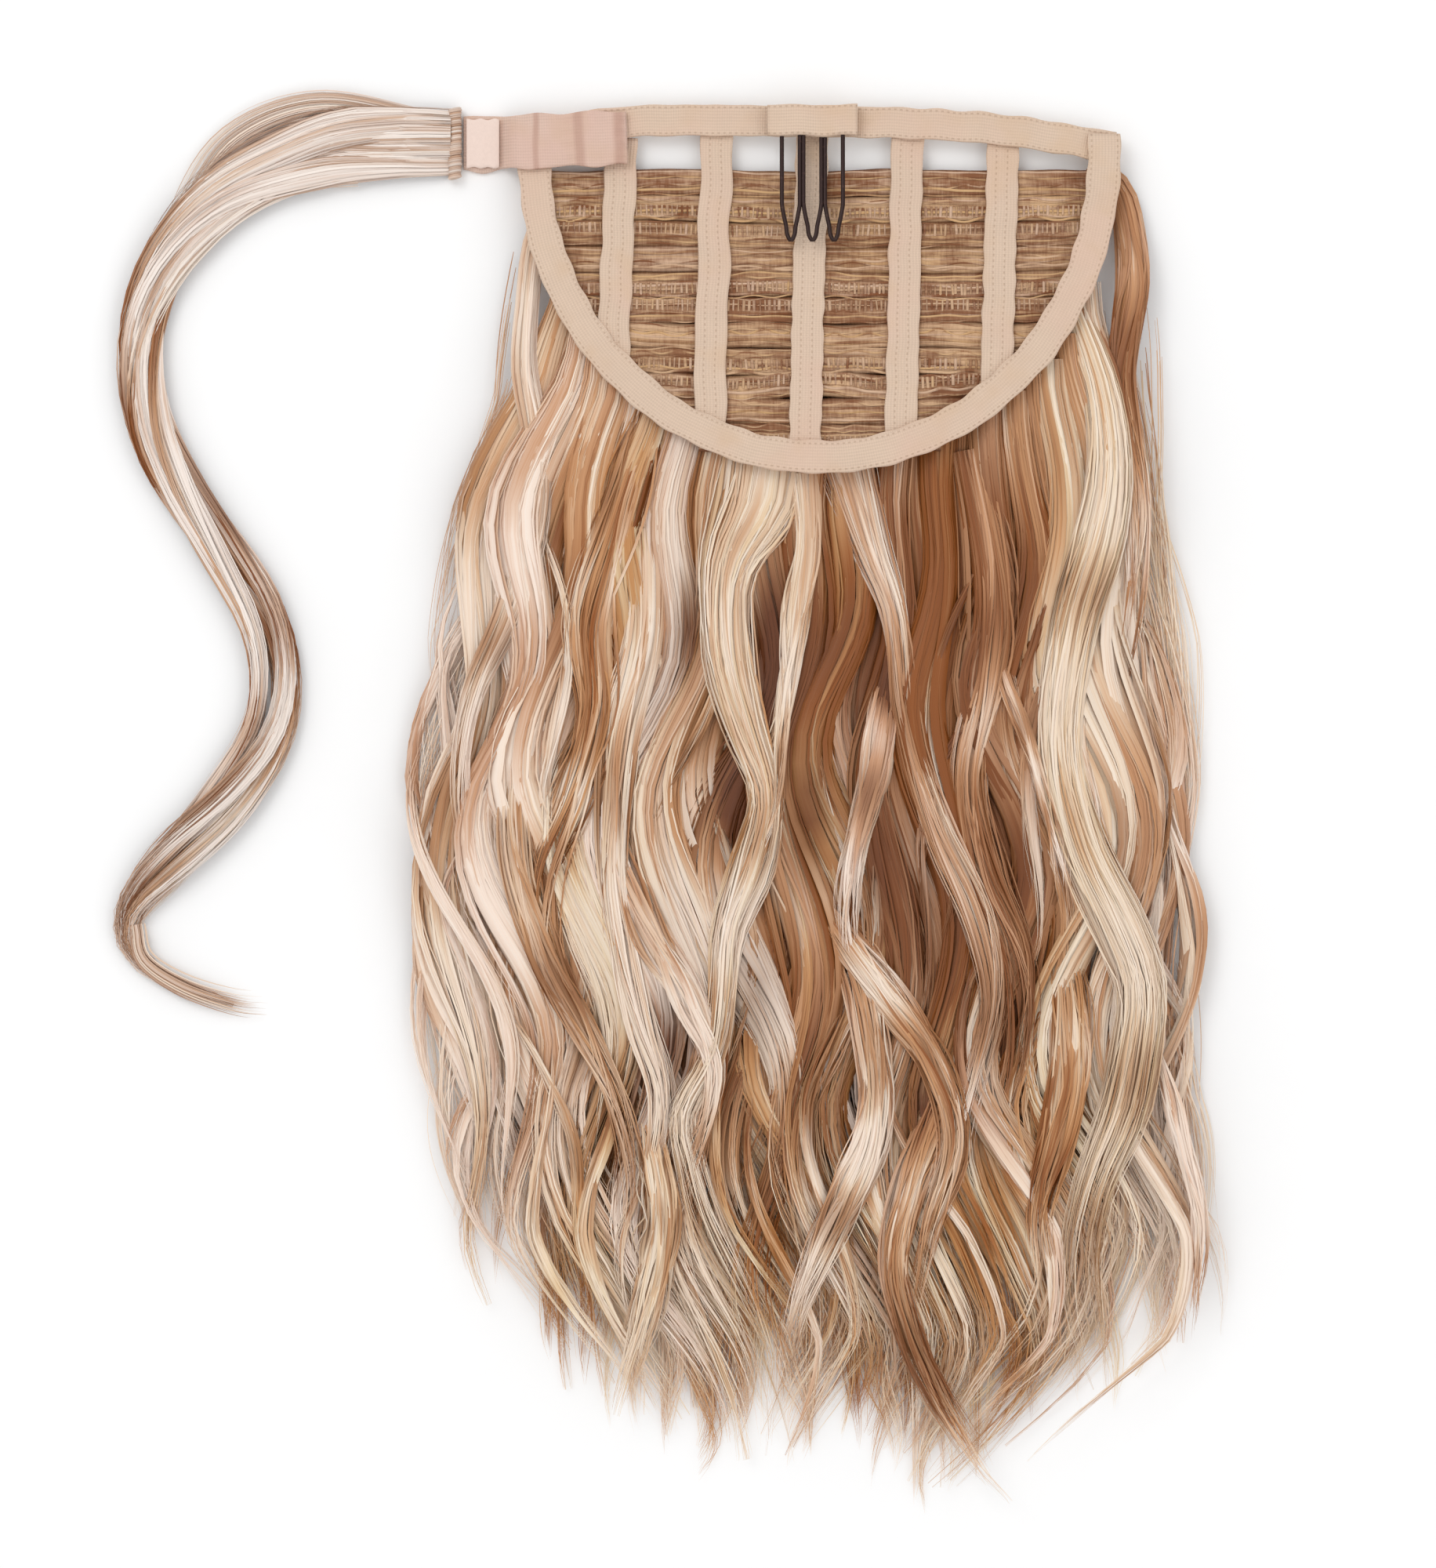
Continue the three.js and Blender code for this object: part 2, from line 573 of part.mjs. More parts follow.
// One layer of the fall: its locks fused to its backing, then set at its slope in the pile.
function makeLayer(layer, span, locks) {
  const room = (x, y) => layerRoom(layer, x, y);
  const solids = locks.map((lock) => lockSolid(lockPlaces(layer, span, lock), room));
  const joined = geometryOf(wasm.Manifold.union([backingSolid(layer, span), ...solids]));
  const places = joined.getAttribute("position");
  for (let at = 0; at < places.count; at++) {
    places.setZ(at, places.getZ(at) + layerFloor(layer, places.getY(at)));
  }
  return joined;
}

// A lower layer's locks are spaced evenly, and their waves are set apart by the golden ratio.
function evenLocks({ locks, width, shorter, phase }) {
  const golden = 0.618;
  return Array.from({ length: locks }, (_, place) => {
    const head = lerp(-1, 1, (place + 0.5) / locks);
    const phaseHere = phase + golden * place;
    const reach = 1 - shorter - 0.04 * ((phaseHere * 3) % 1);
    const swing = 0.9 - 0.5 * head ** 4;
    return { head, tip: head, reach, width, swing, turns: 1, phase: phaseHere };
  });
}

// The wrap strand: three locks that wind gently round each other along one line.
function makeWrapStrand() {
  const points = WRAP_ROUTE.map(
    ({ out, down }) => new THREE.Vector3(-out * WRAP_REACH, -down * WRAP_DROP, 0),
  );
  const line = new THREE.CatmullRomCurve3(points, false, "centripetal");
  const start = TAB_END - 2 * PLY_GAP - SEAM_WIDTH;
  const steps = 28;
  const strands = [0, 1, 2].map((strand) => {
    const places = Array.from({ length: steps + 1 }, (_, step) => {
      const share = step / steps;
      const point = line.getPoint(share);
      const along = line.getTangent(share);
      const row = share * (WRAP_ROUTE.length - 1);
      const low = WRAP_ROUTE[Math.floor(row)];
      const high = WRAP_ROUTE[Math.ceil(row)];
      const wide = WRAP_WIDTH * lerp(low.width, high.width, row - Math.floor(row));
      const turn = 0.9 * Math.max(0, share - 2 / steps);
      const wind = 0.26 * wide * Math.cos(2 * Math.PI * (turn + strand / 3));
      const tall = WRAP_THICK * Math.min(1, 0.35 + wide / WRAP_WIDTH) * (1 - 0.12 * strand);
      return {
        x: start + point.x - along.y * wind,
        y: TAB_RISE + point.y + along.x * wind,
        wide: Math.max(LOCK_TIP, 0.56 * wide),
        tall: Math.max(LOCK_TIP, tall),
      };
    });
    return lockSolid(places, () => WRAP_THICK);
  });
  return geometryOf(wasm.Manifold.union(strands));
}

addPiece("top_band", makeBand(), cloth);
addPiece("rim_tape", makeRim(), cloth);
for (let strap = 0; strap < STRAP_COUNT; strap++) {
  addPiece(`strap_${strap + 1}`, makeStrap(strap - (STRAP_COUNT - 1) / 2), cloth);
}
for (let row = 0; row < WEFT_ROWS; row++) {
  addPiece(`weft_row_${String(row + 1).padStart(2, "0")}`, makeWeft(row), weftHair);
}
addPiece("comb", makeComb(), combWire);
addPiece("comb_sleeve", makeSleeve(), cloth);
addPiece("closure_tab", makeTab(), tabCloth);
addPiece("hook_strip", makeHookStrip(), hookCloth);
addPiece("wrap_seam", makeWrapSeam(), wrapHair);
addPiece("wrap_strand", makeWrapStrand(), wrapHair);
LAYERS.forEach((row, layer) => {
  addPiece(row.name, makeLayer(layer, row.span, evenLocks(row)), fallHair);
});
addPiece(INNER_NAME, makeLayer(LAYERS.length, INNER_SPAN, INNER_LOCKS), fallHair);

// The origin is under the middle of the whole piece, on the surface that it lies on.
const bounds = new THREE.Box3().setFromObject(hairpiece, true);
const middle = bounds.getCenter(new THREE.Vector3());
hairpiece.position.set(-middle.x, -middle.y, -bounds.min.z);

export default hairpiece;
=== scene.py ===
"""A wrap-round ponytail hairpiece, laid on its hair with the inside of its cap facing up.

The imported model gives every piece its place. This file dresses it: woven tapes with their
stitching, rows of sewn weft, a coated wire comb, a closure tab with its bound strand, and
long wavy hair made of thousands of fine strands gathered into locks.
"""

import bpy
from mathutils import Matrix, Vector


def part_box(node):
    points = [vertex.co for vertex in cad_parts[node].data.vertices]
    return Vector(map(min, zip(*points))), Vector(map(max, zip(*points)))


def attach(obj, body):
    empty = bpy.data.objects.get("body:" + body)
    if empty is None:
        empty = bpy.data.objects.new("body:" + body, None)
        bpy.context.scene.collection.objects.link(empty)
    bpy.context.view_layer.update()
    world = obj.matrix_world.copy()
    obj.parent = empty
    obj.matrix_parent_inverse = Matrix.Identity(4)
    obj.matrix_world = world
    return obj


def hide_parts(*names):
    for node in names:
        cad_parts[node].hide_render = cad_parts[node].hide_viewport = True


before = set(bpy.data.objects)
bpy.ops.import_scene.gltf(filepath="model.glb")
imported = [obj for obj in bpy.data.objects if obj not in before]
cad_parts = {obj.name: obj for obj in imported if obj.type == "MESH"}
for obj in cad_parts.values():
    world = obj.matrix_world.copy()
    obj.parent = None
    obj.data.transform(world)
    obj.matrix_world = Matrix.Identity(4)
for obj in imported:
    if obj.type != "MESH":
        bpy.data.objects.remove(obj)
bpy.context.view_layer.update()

import math
from dataclasses import dataclass

import bpy
import numpy as np
from bpy.props import FloatProperty, FloatVectorProperty, IntProperty, PointerProperty
from mathutils import Vector

bl_info = {
    "name": "Wrap-round ponytail hairpiece",
    "version": (1, 0, 0),
    "blender": (4, 5, 0),
    "location": "3D View > Sidebar > Hairpiece",
    "description": "Builds the dressed hairpiece on its packed model",
    "category": "Object",
}

# Sizes of the cap in mm, with its middle on the rim's widest line. A RISE is a place above
# that line, a HALF is half a width, and RIM_DEEP reaches down to the rim's lowest point.
BAND_RISE = 8.4
BAND_HALF = 4.0
BAND_THICK = 1.3
TAPE_HALF = 4.2
TAPE_THICK = 1.1
STRAP_HALF = 4.1
STRAP_THICK = 0.9
STRAP_PITCH = 24.4
RIM_HALF = 72.8
RIM_DEEP = 78.2

# Heights of the straps' undersides at the band and at the rim's lowest point, the dish
# between them, the gap between sewn plies, and the band's height over those undersides.
SEAT = 2.2
LIFT = 18.0
SAG = 3.6
PLY_GAP = 0.3
BAND_LEVEL = STRAP_THICK + PLY_GAP

# The closure tab: its rise, half width and thickness, how much of it lies flat, where it has
# climbed on to the band and where it ends, its creases, which get painted shade, as places
# along it with their reach, and its gathers as places across the cap with their reach.
TAB_RISE = 3.0
TAB_HALF = 7.0
TAB_THICK = 1.3
TAB_FLAT = 10.0
TAB_CLIMB = -77.6
TAB_END = -49.0
TAB_CREASES = ((30.2, 2.0), (40.4, 2.2), (19.0, 1.2))
TAB_GATHERS = ((-63.5, 1.6), (-50.5, 1.4))

# The comb: its loops and their pitch, the wire's radius, the loops' length, half their width
# at the nose, and how far the nose bends up.
COMB_LOOPS = 3
COMB_PITCH = 5.5
COMB_WIRE = 0.55
COMB_LONG = 30.0
COMB_NOSE = 0.9
COMB_BEND = 2.4

# The weft rows: their number, how far the first lies under the widest line, and their pitch.
WEFT_ROWS = 11
WEFT_TOP = 4.0
WEFT_PITCH = (RIM_DEEP - WEFT_TOP - TAPE_HALF / 2) / WEFT_ROWS

# The hair: the fall's length and half its width, the lowest height of anything drawn and of
# a hair's middle line, the numbers of thin locks and of single strands, and the waves: how
# many down the fall, where they start, and how far they drift from the middle to an edge.
HAIR_FALL = 344.0
HAIR_HALF = 100.0
FLOOR_GAP = 0.05
HAIR_REST = 0.35
EDGE_LOCKS = 30
CROSSING_LOCKS = 28
FLYAWAYS = 520
HEM_WISPS = 1700
LOOSE_WRAP_STRANDS = 320
WAVES = 3.3
WAVE_START = 0.25
WAVE_DRIFT = 0.35

# The view: its middle in mm from the rim's middle, how much of a plane it shows from top to
# bottom and how high that plane lies, in metres, and the camera's sensor in mm.
VIEW_MIDDLE = (-25.8, -161.0, 0.0)
VIEW_TALL = 0.4
VIEW_LEVEL = 0.008
SENSOR = 36.0

# The lamps: place and size in metres, and share of the power that is set.
LAMPS = {"key": ((-0.7, 0.9, 1.4), 0.9, 1.0), "fill": ((1.1, -0.5, 1.2), 1.2, 0.45)}

# How the fall spreads, as shares: down the fall, and of HAIR_HALF to the left and right.
FAN = np.array(
    [
        (0.0, -0.7, 0.76), (0.06, -0.78, 0.84), (0.18, -0.8, 0.84), (0.26, -0.89, 0.86),
        (0.36, -0.97, 0.92), (0.47, -1.01, 0.95), (0.6, -0.96, 0.92), (0.7, -0.94, 0.93),
        (0.8, -0.9, 1.02), (0.88, -0.78, 0.98), (1.0, -0.58, 0.6),
    ]
)

# Where the hair ends across the fall, -1 and 1 being its edges, as a share of HAIR_FALL.
HEM = np.array(
    [
        (-1, 0.88), (-0.8, 0.93), (-0.5, 0.97), (-0.1, 0.965),
        (0.3, 0.975), (0.55, 0.99), (0.75, 0.925), (1, 0.9),
    ]
)

rim_low, rim_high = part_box("rim_tape")
SHIFT = np.array(
    [(rim_low.x + rim_high.x) * 500, rim_low.y * 1000 + RIM_DEEP + TAPE_HALF, 0.0]
)


def box_mm(node):
    """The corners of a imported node's box, in mm from the rim's middle."""
    low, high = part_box(node)
    return np.array(low) * 1000 - SHIFT, np.array(high) * 1000 - SHIFT


def smooth(value, low, high):
    """0 below low, 1 above high and an S curve between them."""
    t = np.clip((np.asarray(value, float) - low) / (high - low), 0, 1)
    return t * t * (3 - 2 * t)


def cap_height(x, y):
    """Height of the straps' undersides: a ramp from band to rim with a shallow dish."""
    x, y = np.asarray(x, float), np.asarray(y, float)
    down = np.maximum(0, (BAND_RISE - y) / (BAND_RISE + RIM_DEEP))
    rim = RIM_HALF * np.sqrt(np.maximum(0, 1 - (np.minimum(y, 0) / RIM_DEEP) ** 2))
    across = np.minimum(1, np.abs(x) / np.maximum(1, rim))
    dish = np.sin(np.pi * np.minimum(down, 1)) ** 1.5 * (1 - across**2)
    return SEAT + (LIFT - SEAT) * down - SAG * dish


def under_cap(x, y):
    """1 under the cap and its rim, fading to 0 a few millimetres outside."""
    edge = TAPE_HALF + 1.0
    inside = (x / (RIM_HALF + edge)) ** 2 + (np.minimum(y, 0) / (RIM_DEEP + edge)) ** 2
    return 1 - smooth(inside, 1.0, 1.1)


def fan_x(across, down):
    """Place across the fall for a share from -1 to 1 at a share down it."""
    left = np.interp(down, FAN[:, 0], FAN[:, 1])
    right = np.interp(down, FAN[:, 0], FAN[:, 2])
    return HAIR_HALF * (left + (right - left) * (across + 1) / 2)


def spline(points, count):
    """count places along a smooth curve through the rows of points, evenly spaced."""
    points = np.asarray(points, float)
    padded = np.vstack([2 * points[0] - points[1], points, 2 * points[-1] - points[-2]])
    fine = []
    for at in range(len(points) - 1):
        p0, p1, p2, p3 = padded[at : at + 4]
        t = np.linspace(0, 1, 24, endpoint=False)[:, None]
        square = (2 * p0 - 5 * p1 + 4 * p2 - p3) * t**2
        cube = (3 * p1 - p0 - 3 * p2 + p3) * t**3
        fine.append(0.5 * (2 * p1 + (p2 - p0) * t + square + cube))
    fine = np.vstack([*fine, points[-1:]])
    run = np.linalg.norm(np.diff(fine[:, :2], axis=0), axis=1)
    run = np.concatenate([[0], np.cumsum(run)])
    places = np.linspace(0, run[-1], count)
    return np.stack([np.interp(places, run, fine[:, k]) for k in range(points.shape[1])], 1)


def unit(vectors):
    """Vectors scaled to length 1."""
    return vectors / np.maximum(np.linalg.norm(vectors, axis=-1, keepdims=True), 1e-9)


def ripple(places, rng, waves=4, low=0.5, high=3.0):
    """A smooth random line of about unit height over places, which run from 0 to 1."""
    line = np.zeros_like(places)
    for _ in range(waves):
        size, speed, start = rng.normal(), rng.uniform(low, max(low + 1, high)), rng.uniform()
        line += size * np.sin(2 * np.pi * (speed * places + start))
    return line / math.sqrt(waves)


def tube(line, side, up, radius, sides):
    """Rings of points round a line, in the plane of the directions side and up."""
    spin = np.linspace(0, 2 * np.pi, sides, endpoint=False)[None, :, None]
    ring = side[:, None] * np.cos(spin) + up[:, None] * np.sin(spin)
    return (line[:, None] + ring * radius)[None]


def arched(line, half, rise, axis):
    """Strips of three columns along lines: the outer ones half away along an axis, the
    middle one raised."""
    grids = np.stack([line, line, line], 2)
    grids[:, :, 0, axis] -= half
    grids[:, :, 2, axis] += half
    grids[:, :, 1, 2] += rise
    return grids


def new_mesh(name, points, faces):
    """A mesh from points in mm from the rim's middle."""
    mesh = bpy.data.meshes.new(name)
    mesh.from_pydata(((points.reshape(-1, 3) + SHIFT) * 0.001).tolist(), [], faces)
    return mesh


def new_piece(name, mesh, material):
    """A smooth shaded piece of one material."""
    mesh.polygons.foreach_set("use_smooth", [True] * len(mesh.polygons))
    mesh.update()
    mesh.materials.append(material)
    piece = bpy.data.objects.new(name, mesh)
    bpy.context.scene.collection.objects.link(piece)
    return piece


class Sheets:
    """Gathers grids of points, each of rows along a thing and a few columns across it, and
    builds one mesh from them, with a tidy bake map that gives every grid its own cell."""

    MAP_COLUMNS = 5

    def __init__(self):
        self.batches = []

    def add(self, grids, colours, lanes=0.0, closed=False, weight=1.0):
        """grids is (n, rows, columns, 3) in mm and colours matches it. lanes, of the same
        shape, says where each point lies across and along its own hair. weight is a grid's
        share of the bake map, and closed joins its last column to its first."""
        grids = np.maximum(grids, (-np.inf, -np.inf, FLOOR_GAP))
        colours = np.broadcast_to(colours, grids.shape)
        lanes = np.broadcast_to(lanes, grids.shape)
        self.batches.append((grids, colours, lanes, closed, weight))

    def build(self, name, material):
        """One mesh piece of all the grids."""
        total = sum(len(grids) * weight for grids, _, _, _, weight in self.batches)
        per_column = total / self.MAP_COLUMNS
        verts, quads, uvs, tints, paths = [], [], [], [], []
        start, used = 0, 0.0
        for grids, colours, lanes, closed, weight in self.batches:
            n, rows, cols, _ = grids.shape
            verts.append(grids.reshape(-1, 3))
            tints.append(colours.reshape(-1, 3))
            paths.append(lanes.reshape(-1, 3))
            ids = start + np.arange(n * rows * cols).reshape(n, rows, cols)
            if closed:
                ids = np.concatenate([ids, ids[:, :, :1]], axis=2)
            quads.append(self.corners(ids).reshape(-1, 4))
            low = used + weight * np.arange(n)
            column = np.floor(low / per_column)
            row = low - column * per_column
            u = np.linspace(0.01, 0.99, rows)[None, :, None] + column[:, None, None]
            across = np.linspace(0.2, 0.8, ids.shape[2])[None, None, :]
            v = (row[:, None, None] + across * weight) / (per_column + weight)
            u, v = np.broadcast_arrays(u / self.MAP_COLUMNS, v)
            uvs.append(np.stack([self.corners(u), self.corners(v)], -1).reshape(-1, 2))
            start += n * rows * cols
            used += weight * n
        mesh = new_mesh(name, np.vstack(verts), np.vstack(quads).tolist())
        mesh.uv_layers.new(name="OFBake")
        mesh.uv_layers["OFBake"].data.foreach_set("uv", np.vstack(uvs).ravel())
        tint = mesh.color_attributes.new("strand_tint", "FLOAT_COLOR", "POINT")
        colour = np.vstack(tints)
        tint.data.foreach_set("color", np.hstack([colour, np.ones((len(colour), 1))]).ravel())
        lane = mesh.attributes.new("strand_lane", "FLOAT_VECTOR", "POINT")
        lane.data.foreach_set("vector", np.vstack(paths).ravel())
        return new_piece(name, mesh, material)

    @staticmethod
    def corners(grid):
        """The values at the four corners of each face of the grids."""
        return np.stack(
            [grid[:, :-1, :-1], grid[:, :-1, 1:], grid[:, 1:, 1:], grid[:, 1:, :-1]], -1
        )


def settle(piece, slot, *nodes):
    """Fixes a finished piece to the model, in place of the solids that it stands for."""
    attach(piece, "root")
    if nodes:
        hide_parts(*nodes)


# Materials


class Value:
    """A socket of a material's tree, on which arithmetic adds Math nodes."""

    def __init__(self, tree, socket):
        self.tree = tree
        self.socket = socket

    def _math(self, operation, *values):
        return self.tree.node("ShaderNodeMath", {"operation": operation}, *values)

    def __add__(self, other):
        return self._math("ADD", self, other)

    __radd__ = __add__

    def __mul__(self, other):
        return self._math("MULTIPLY", self, other)

    __rmul__ = __mul__

    def __sub__(self, other):
        return self._math("SUBTRACT", self, other)

    def __rsub__(self, other):
        return self._math("SUBTRACT", other, self)

    def __abs__(self):
        return self._math("ABSOLUTE", self)

    def wave(self, pitch):
        """A sine of the value that repeats every pitch."""
        return self._math("SINE", self * (2 * math.pi / pitch))

    def between(self, low, high):
        """0 where the value is below low, 1 where it is above high."""
        return self.tree.node(
            "ShaderNodeMapRange", {"interpolation_type": "SMOOTHSTEP"}, self, low, high
        )


SOCKETS = {
    "base_color": "Base Color",
    "roughness": "Roughness",
    "metallic": "Metallic",
    "specular": "Specular IOR Level",
    "normal": "Normal",
}


class Finish:
    """A material and its node tree, ending in one Principled shader."""

    def __init__(self, name, **constants):
        self.material = bpy.data.materials.new(name)
        self.material.use_nodes = True
        self.nodes = self.material.node_tree.nodes
        self.links = self.material.node_tree.links
        self.shader = self.nodes["Principled BSDF"]
        for socket, value in constants.items():
            self.shader.inputs[SOCKETS[socket]].default_value = value

    def node(self, kind, settings, *values, output=0, **named):
        """Adds a node: its settings first, then its sockets, in order or by name."""
        made = self.nodes.new(kind)
        for key, value in settings.items():
            setattr(made, key, value)
        open_sockets = [s for s in made.inputs if s.enabled]
        pairs = list(zip(open_sockets, values))
        pairs += [(made.inputs[key], value) for key, value in named.items()]
        for socket, value in pairs:
            if isinstance(value, Value):
                self.links.new(value.socket, socket)
            else:
                socket.default_value = value
        outputs = [s for s in made.outputs if s.enabled]
        return Value(self, outputs[output])

    def blend(self, share, first, second):
        """Mixes two colours by a share, a number or a value."""
        return self.node("ShaderNodeMix", {"data_type": "RGBA"}, share, first, second)

    def noise(self, vector, scale, detail=3.0, rough=0.55):
        """Cloudy noise over the places that vector gives."""
        return self.node(
            "ShaderNodeTexNoise", {}, Vector=vector, Scale=scale, Detail=detail, Roughness=rough
        )

    def scaled(self, vector, scale):
        """A vector with each of its parts multiplied."""
        return self.node("ShaderNodeVectorMath", {"operation": "MULTIPLY"}, vector, scale)

    def attribute(self, name):
        """What the mesh stores at its points under a name."""
        return self.node("ShaderNodeAttribute", {"attribute_name": name})

    def own_map(self, name):
        """The places of a map of the mesh."""
        return self.node("ShaderNodeUVMap", {"uv_map": name})

    def place(self):
        """The point on the piece, in metres, which is this node's fourth output."""
        return self.node("ShaderNodeTexCoord", {}, output=3)

    def parts(self, vector):
        """The three parts of a vector."""
        split = self.node("ShaderNodeSeparateXYZ", {}, vector)
        return [Value(self, out) for out in split.socket.node.outputs]

    def bump(self, height, strength, distance):
        """A normal that stands up with the height."""
        return self.node(
            "ShaderNodeBump", {}, Strength=strength, Distance=distance, Height=height
        )

    def feed(self, **inputs):
        """Links values to the shader's sockets and returns the material."""
        for socket, value in inputs.items():
            self.links.new(value.socket, self.shader.inputs[SOCKETS[socket]])
        return self.material


def paint(colour, scale=1.0):
    """A colour of a settings group as a shader takes it, scaled as a whole or by channel."""
    return (*np.multiply(colour[:3], scale), 1.0)


def hair_finish(name, colours, ash=None, tan=None):
    """Strands whose tint holds brownness, warmth and painted shade for how deep they lie in the
    fall. The palest hair takes the glint colour as a painted highlight.
    """
    finish = Finish(name, specular=0.34)
    brown, warm, deep = finish.parts(finish.attribute("strand_tint"))
    lane = finish.attribute("strand_lane")
    streak = finish.noise(finish.scaled(lane, (2.4, 0.02, 1.0)), 1.0, 3.0, 0.7)
    patch = finish.noise(finish.scaled(lane, (0.7, 0.014, 1.0)), 1.0, 2.0)
    pale = finish.blend(warm, paint(ash or colours.ash), paint(colours.gold))
    middle = finish.blend(warm, paint(tan or colours.tan), paint(colours.amber))
    dark = finish.blend(warm, paint(colours.brown), paint(colours.copper))
    mix = brown + (streak - 0.5) * 0.6 + (patch - 0.5) * 0.5
    tone = finish.blend(mix * 2, pale, middle)
    tone = finish.blend(mix * 2 - 1, tone, dark)
    # Painted highlight: the palest hair turns to the glint colour.
    tone = finish.blend((0.12 - mix) * 2.2, tone, paint(colours.glint))
    # Painted shade: hair that lies deep turns toward the colour called root.
    shade = finish.blend(deep + (0.5 - streak) * 0.2, tone, paint(colours.root))
    bump = finish.bump(streak, 0.35, 0.0003)
    return finish.feed(base_color=shade, roughness=0.32 + streak * 0.25, normal=bump)


# Hair


@dataclass
class Lock:
    """A lock of hair: its middle line, half its width and half its height along it, its
    brownness, warmth and painted shade, how painted light changes along it, how many strands it
    has, how far its bundles stray, how many of the strands are drawn singly, as a share, and
    the share over which its head thins where it shows. Lengths are in mm."""

    line: np.ndarray
    wide: np.ndarray
    tall: np.ndarray
    brown: float
    warm: float
    deep: float = 0.0
    light: np.ndarray = 0.0
    strands: int = 60
    stray: float = 1.0
    fine: float = 0.45
    point: float = 0.0


def side_of(line):
    """The direction across a line in the plane, to its left."""
    along = np.gradient(line, axis=-2)
    side = np.stack([-along[..., 1], along[..., 0], np.zeros_like(along[..., 0])], -1)
    return unit(side)


def sample(values, share):
    """Values given along a lock, read at each strand's own shares of its length."""
    values = np.asarray(values, float)
    if values.ndim == 0:
        return np.full(share.shape, float(values))
    at = share * (len(values) - 1)
    low = np.clip(at.astype(int), 0, len(values) - 2)
    part = at - low
    if values.ndim == 2:
        part = part[..., None]
    return values[low] * (1 - part) + values[low + 1] * part


# Colour zones of the fall: x, y and reach in mm, how many times as long as wide, and what
# they add to the hair's brownness, warmth and painted shade. The painted shade darkens the
# gaps between locks and is taken off the pale sides.
ZONES = [
    (-52, -90, 18, 1.2, 0.3, 0.4, 0.0),
    (-54, -118, 13, 1.3, 0.34, 0.5, 0.1),
    (-69, -186, 8, 2.4, 0.36, 0.5, 0.15),
    (-51, -203, 8, 2.2, 0.3, 0.5, 0.1),
    (-61, -284, 12, 1.8, 0.36, 0.5, 0.0),
    (-33, -121, 3, 4.0, 0.3, 0.2, 0.8),
    (-12, -127, 5.5, 4.0, 0.4, 0.3, 1.2),
    (17, -137, 3, 4.0, 0.3, 0.1, 0.8),
    (-21, -169, 5, 3.0, 0.4, 0.3, 0.9),
    (-3, -169, 6, 2.5, 0.4, 0.5, 0.7),
    (13, -182, 6, 3.0, 0.3, 0.2, 0.6),
    (27, -245, 5, 2.4, 0.3, 0.4, 0.9),
    (-39, -227, 7, 1.6, 0.3, 0.2, 0.8),
    (3, -251, 9, 2.0, 0.3, -0.1, 0.3),
    (-17, -214, 6, 2.4, 0.25, 0.2, 0.5),
    (28, -96, 24, 1.2, 0.44, 0.0, 0.12),
    (42, -125, 22, 1.6, 0.46, 0.1, 0.16),
    (28, -160, 20, 1.6, 0.44, 0.0, 0.16),
    (4, -138, 14, 1.8, 0.4, 0.0, 0.16),
    (29, -197, 14, 2.4, 0.42, 0.0, 0.4),
    (52, -190, 10, 2.6, 0.26, 0.3, 0.14),
    (58, -246, 16, 1.8, 0.26, 0.4, 0.05),
    (-14, -281, 12, 1.8, 0.22, 0.5, 0.0),
    (28, -284, 14, 1.8, 0.28, 0.5, 0.1),
    (-76, -66, 22, 1.2, -0.26, -0.2, -0.25),
    (-86, -124, 26, 1.4, -0.3, -0.3, -0.3),
    (-94, -200, 28, 1.6, -0.36, -0.2, -0.3),
    (-90, -262, 26, 1.4, -0.32, -0.1, -0.3),
    (80, -100, 24, 1.6, -0.34, 0.1, -0.25),
    (88, -180, 22, 2.0, -0.3, -0.2, -0.2),
    (82, -262, 26, 1.6, -0.36, 0.0, -0.25),
    (-46, -158, 12, 1.6, -0.18, 0.0, -0.1),
    (-68, -300, 6, 2.4, 0.5, 0.5, 0.3),
    (-25, -311, 5, 2.6, 0.5, 0.4, 0.3),
    (-13, -290, 6, 2.2, 0.4, 0.4, 0.2),
    (11, -316, 7, 2.2, 0.5, 0.5, 0.2),
    (49, -311, 5, 2.4, 0.45, 0.4, 0.2),
    (44, -272, 7, 2.0, 0.4, 0.6, 0.0),
    (-52, -247, 5, 2.6, 0.45, 0.6, 0.2),
]


def zone_tint(tint, x, y):
    """Shifts brownness, warmth and painted shade by the colour zones near each point, and at
    the fall's end pales the thin hair as painted light and takes its painted shade off."""
    tint = tint.copy()
    for zone_x, zone_y, reach, long, *added in ZONES:
        across = (x - zone_x) / reach
        down = (y - zone_y) / (reach * long)
        tint += np.exp(-(across**2) - down**2)[..., None] * added
    # Painted light at the fall's end, with its painted shade taken off.
    hem_light = smooth(-y, 245, 320)
    tint[..., 0] -= 0.45 * hem_light
    tint[..., 2] -= 0.9 * hem_light
    return tint


def below_cap(points, room):
    """Keeps points under the cap where it covers them, and above the floor."""
    x, y = points[..., 0], points[..., 1]
    roof = cap_height(x, y) - room
    covered = under_cap(x, y) > 0.5
    height = np.where(covered, np.minimum(points[..., 2], roof), points[..., 2])
    points[..., 2] = np.maximum(height, HAIR_REST)
    return points


def lanes_for(rng, run, across):
    """Where each point lies across and along its own hair, in mm, for the streaks."""
    n, stations = run.shape
    lanes = np.zeros((n, stations, across.shape[-1], 3))
    lanes[..., 0] = rng.uniform(0, 900, n)[:, None, None] + across
    lanes[..., 1] = run[..., None]
    return lanes


def run_of(line):
    """Length along each line up to each of its points, in mm."""
    step = np.linalg.norm(np.diff(line, axis=1), axis=-1)
    return np.concatenate([np.zeros((len(line), 1)), np.cumsum(step, axis=1)], 1)


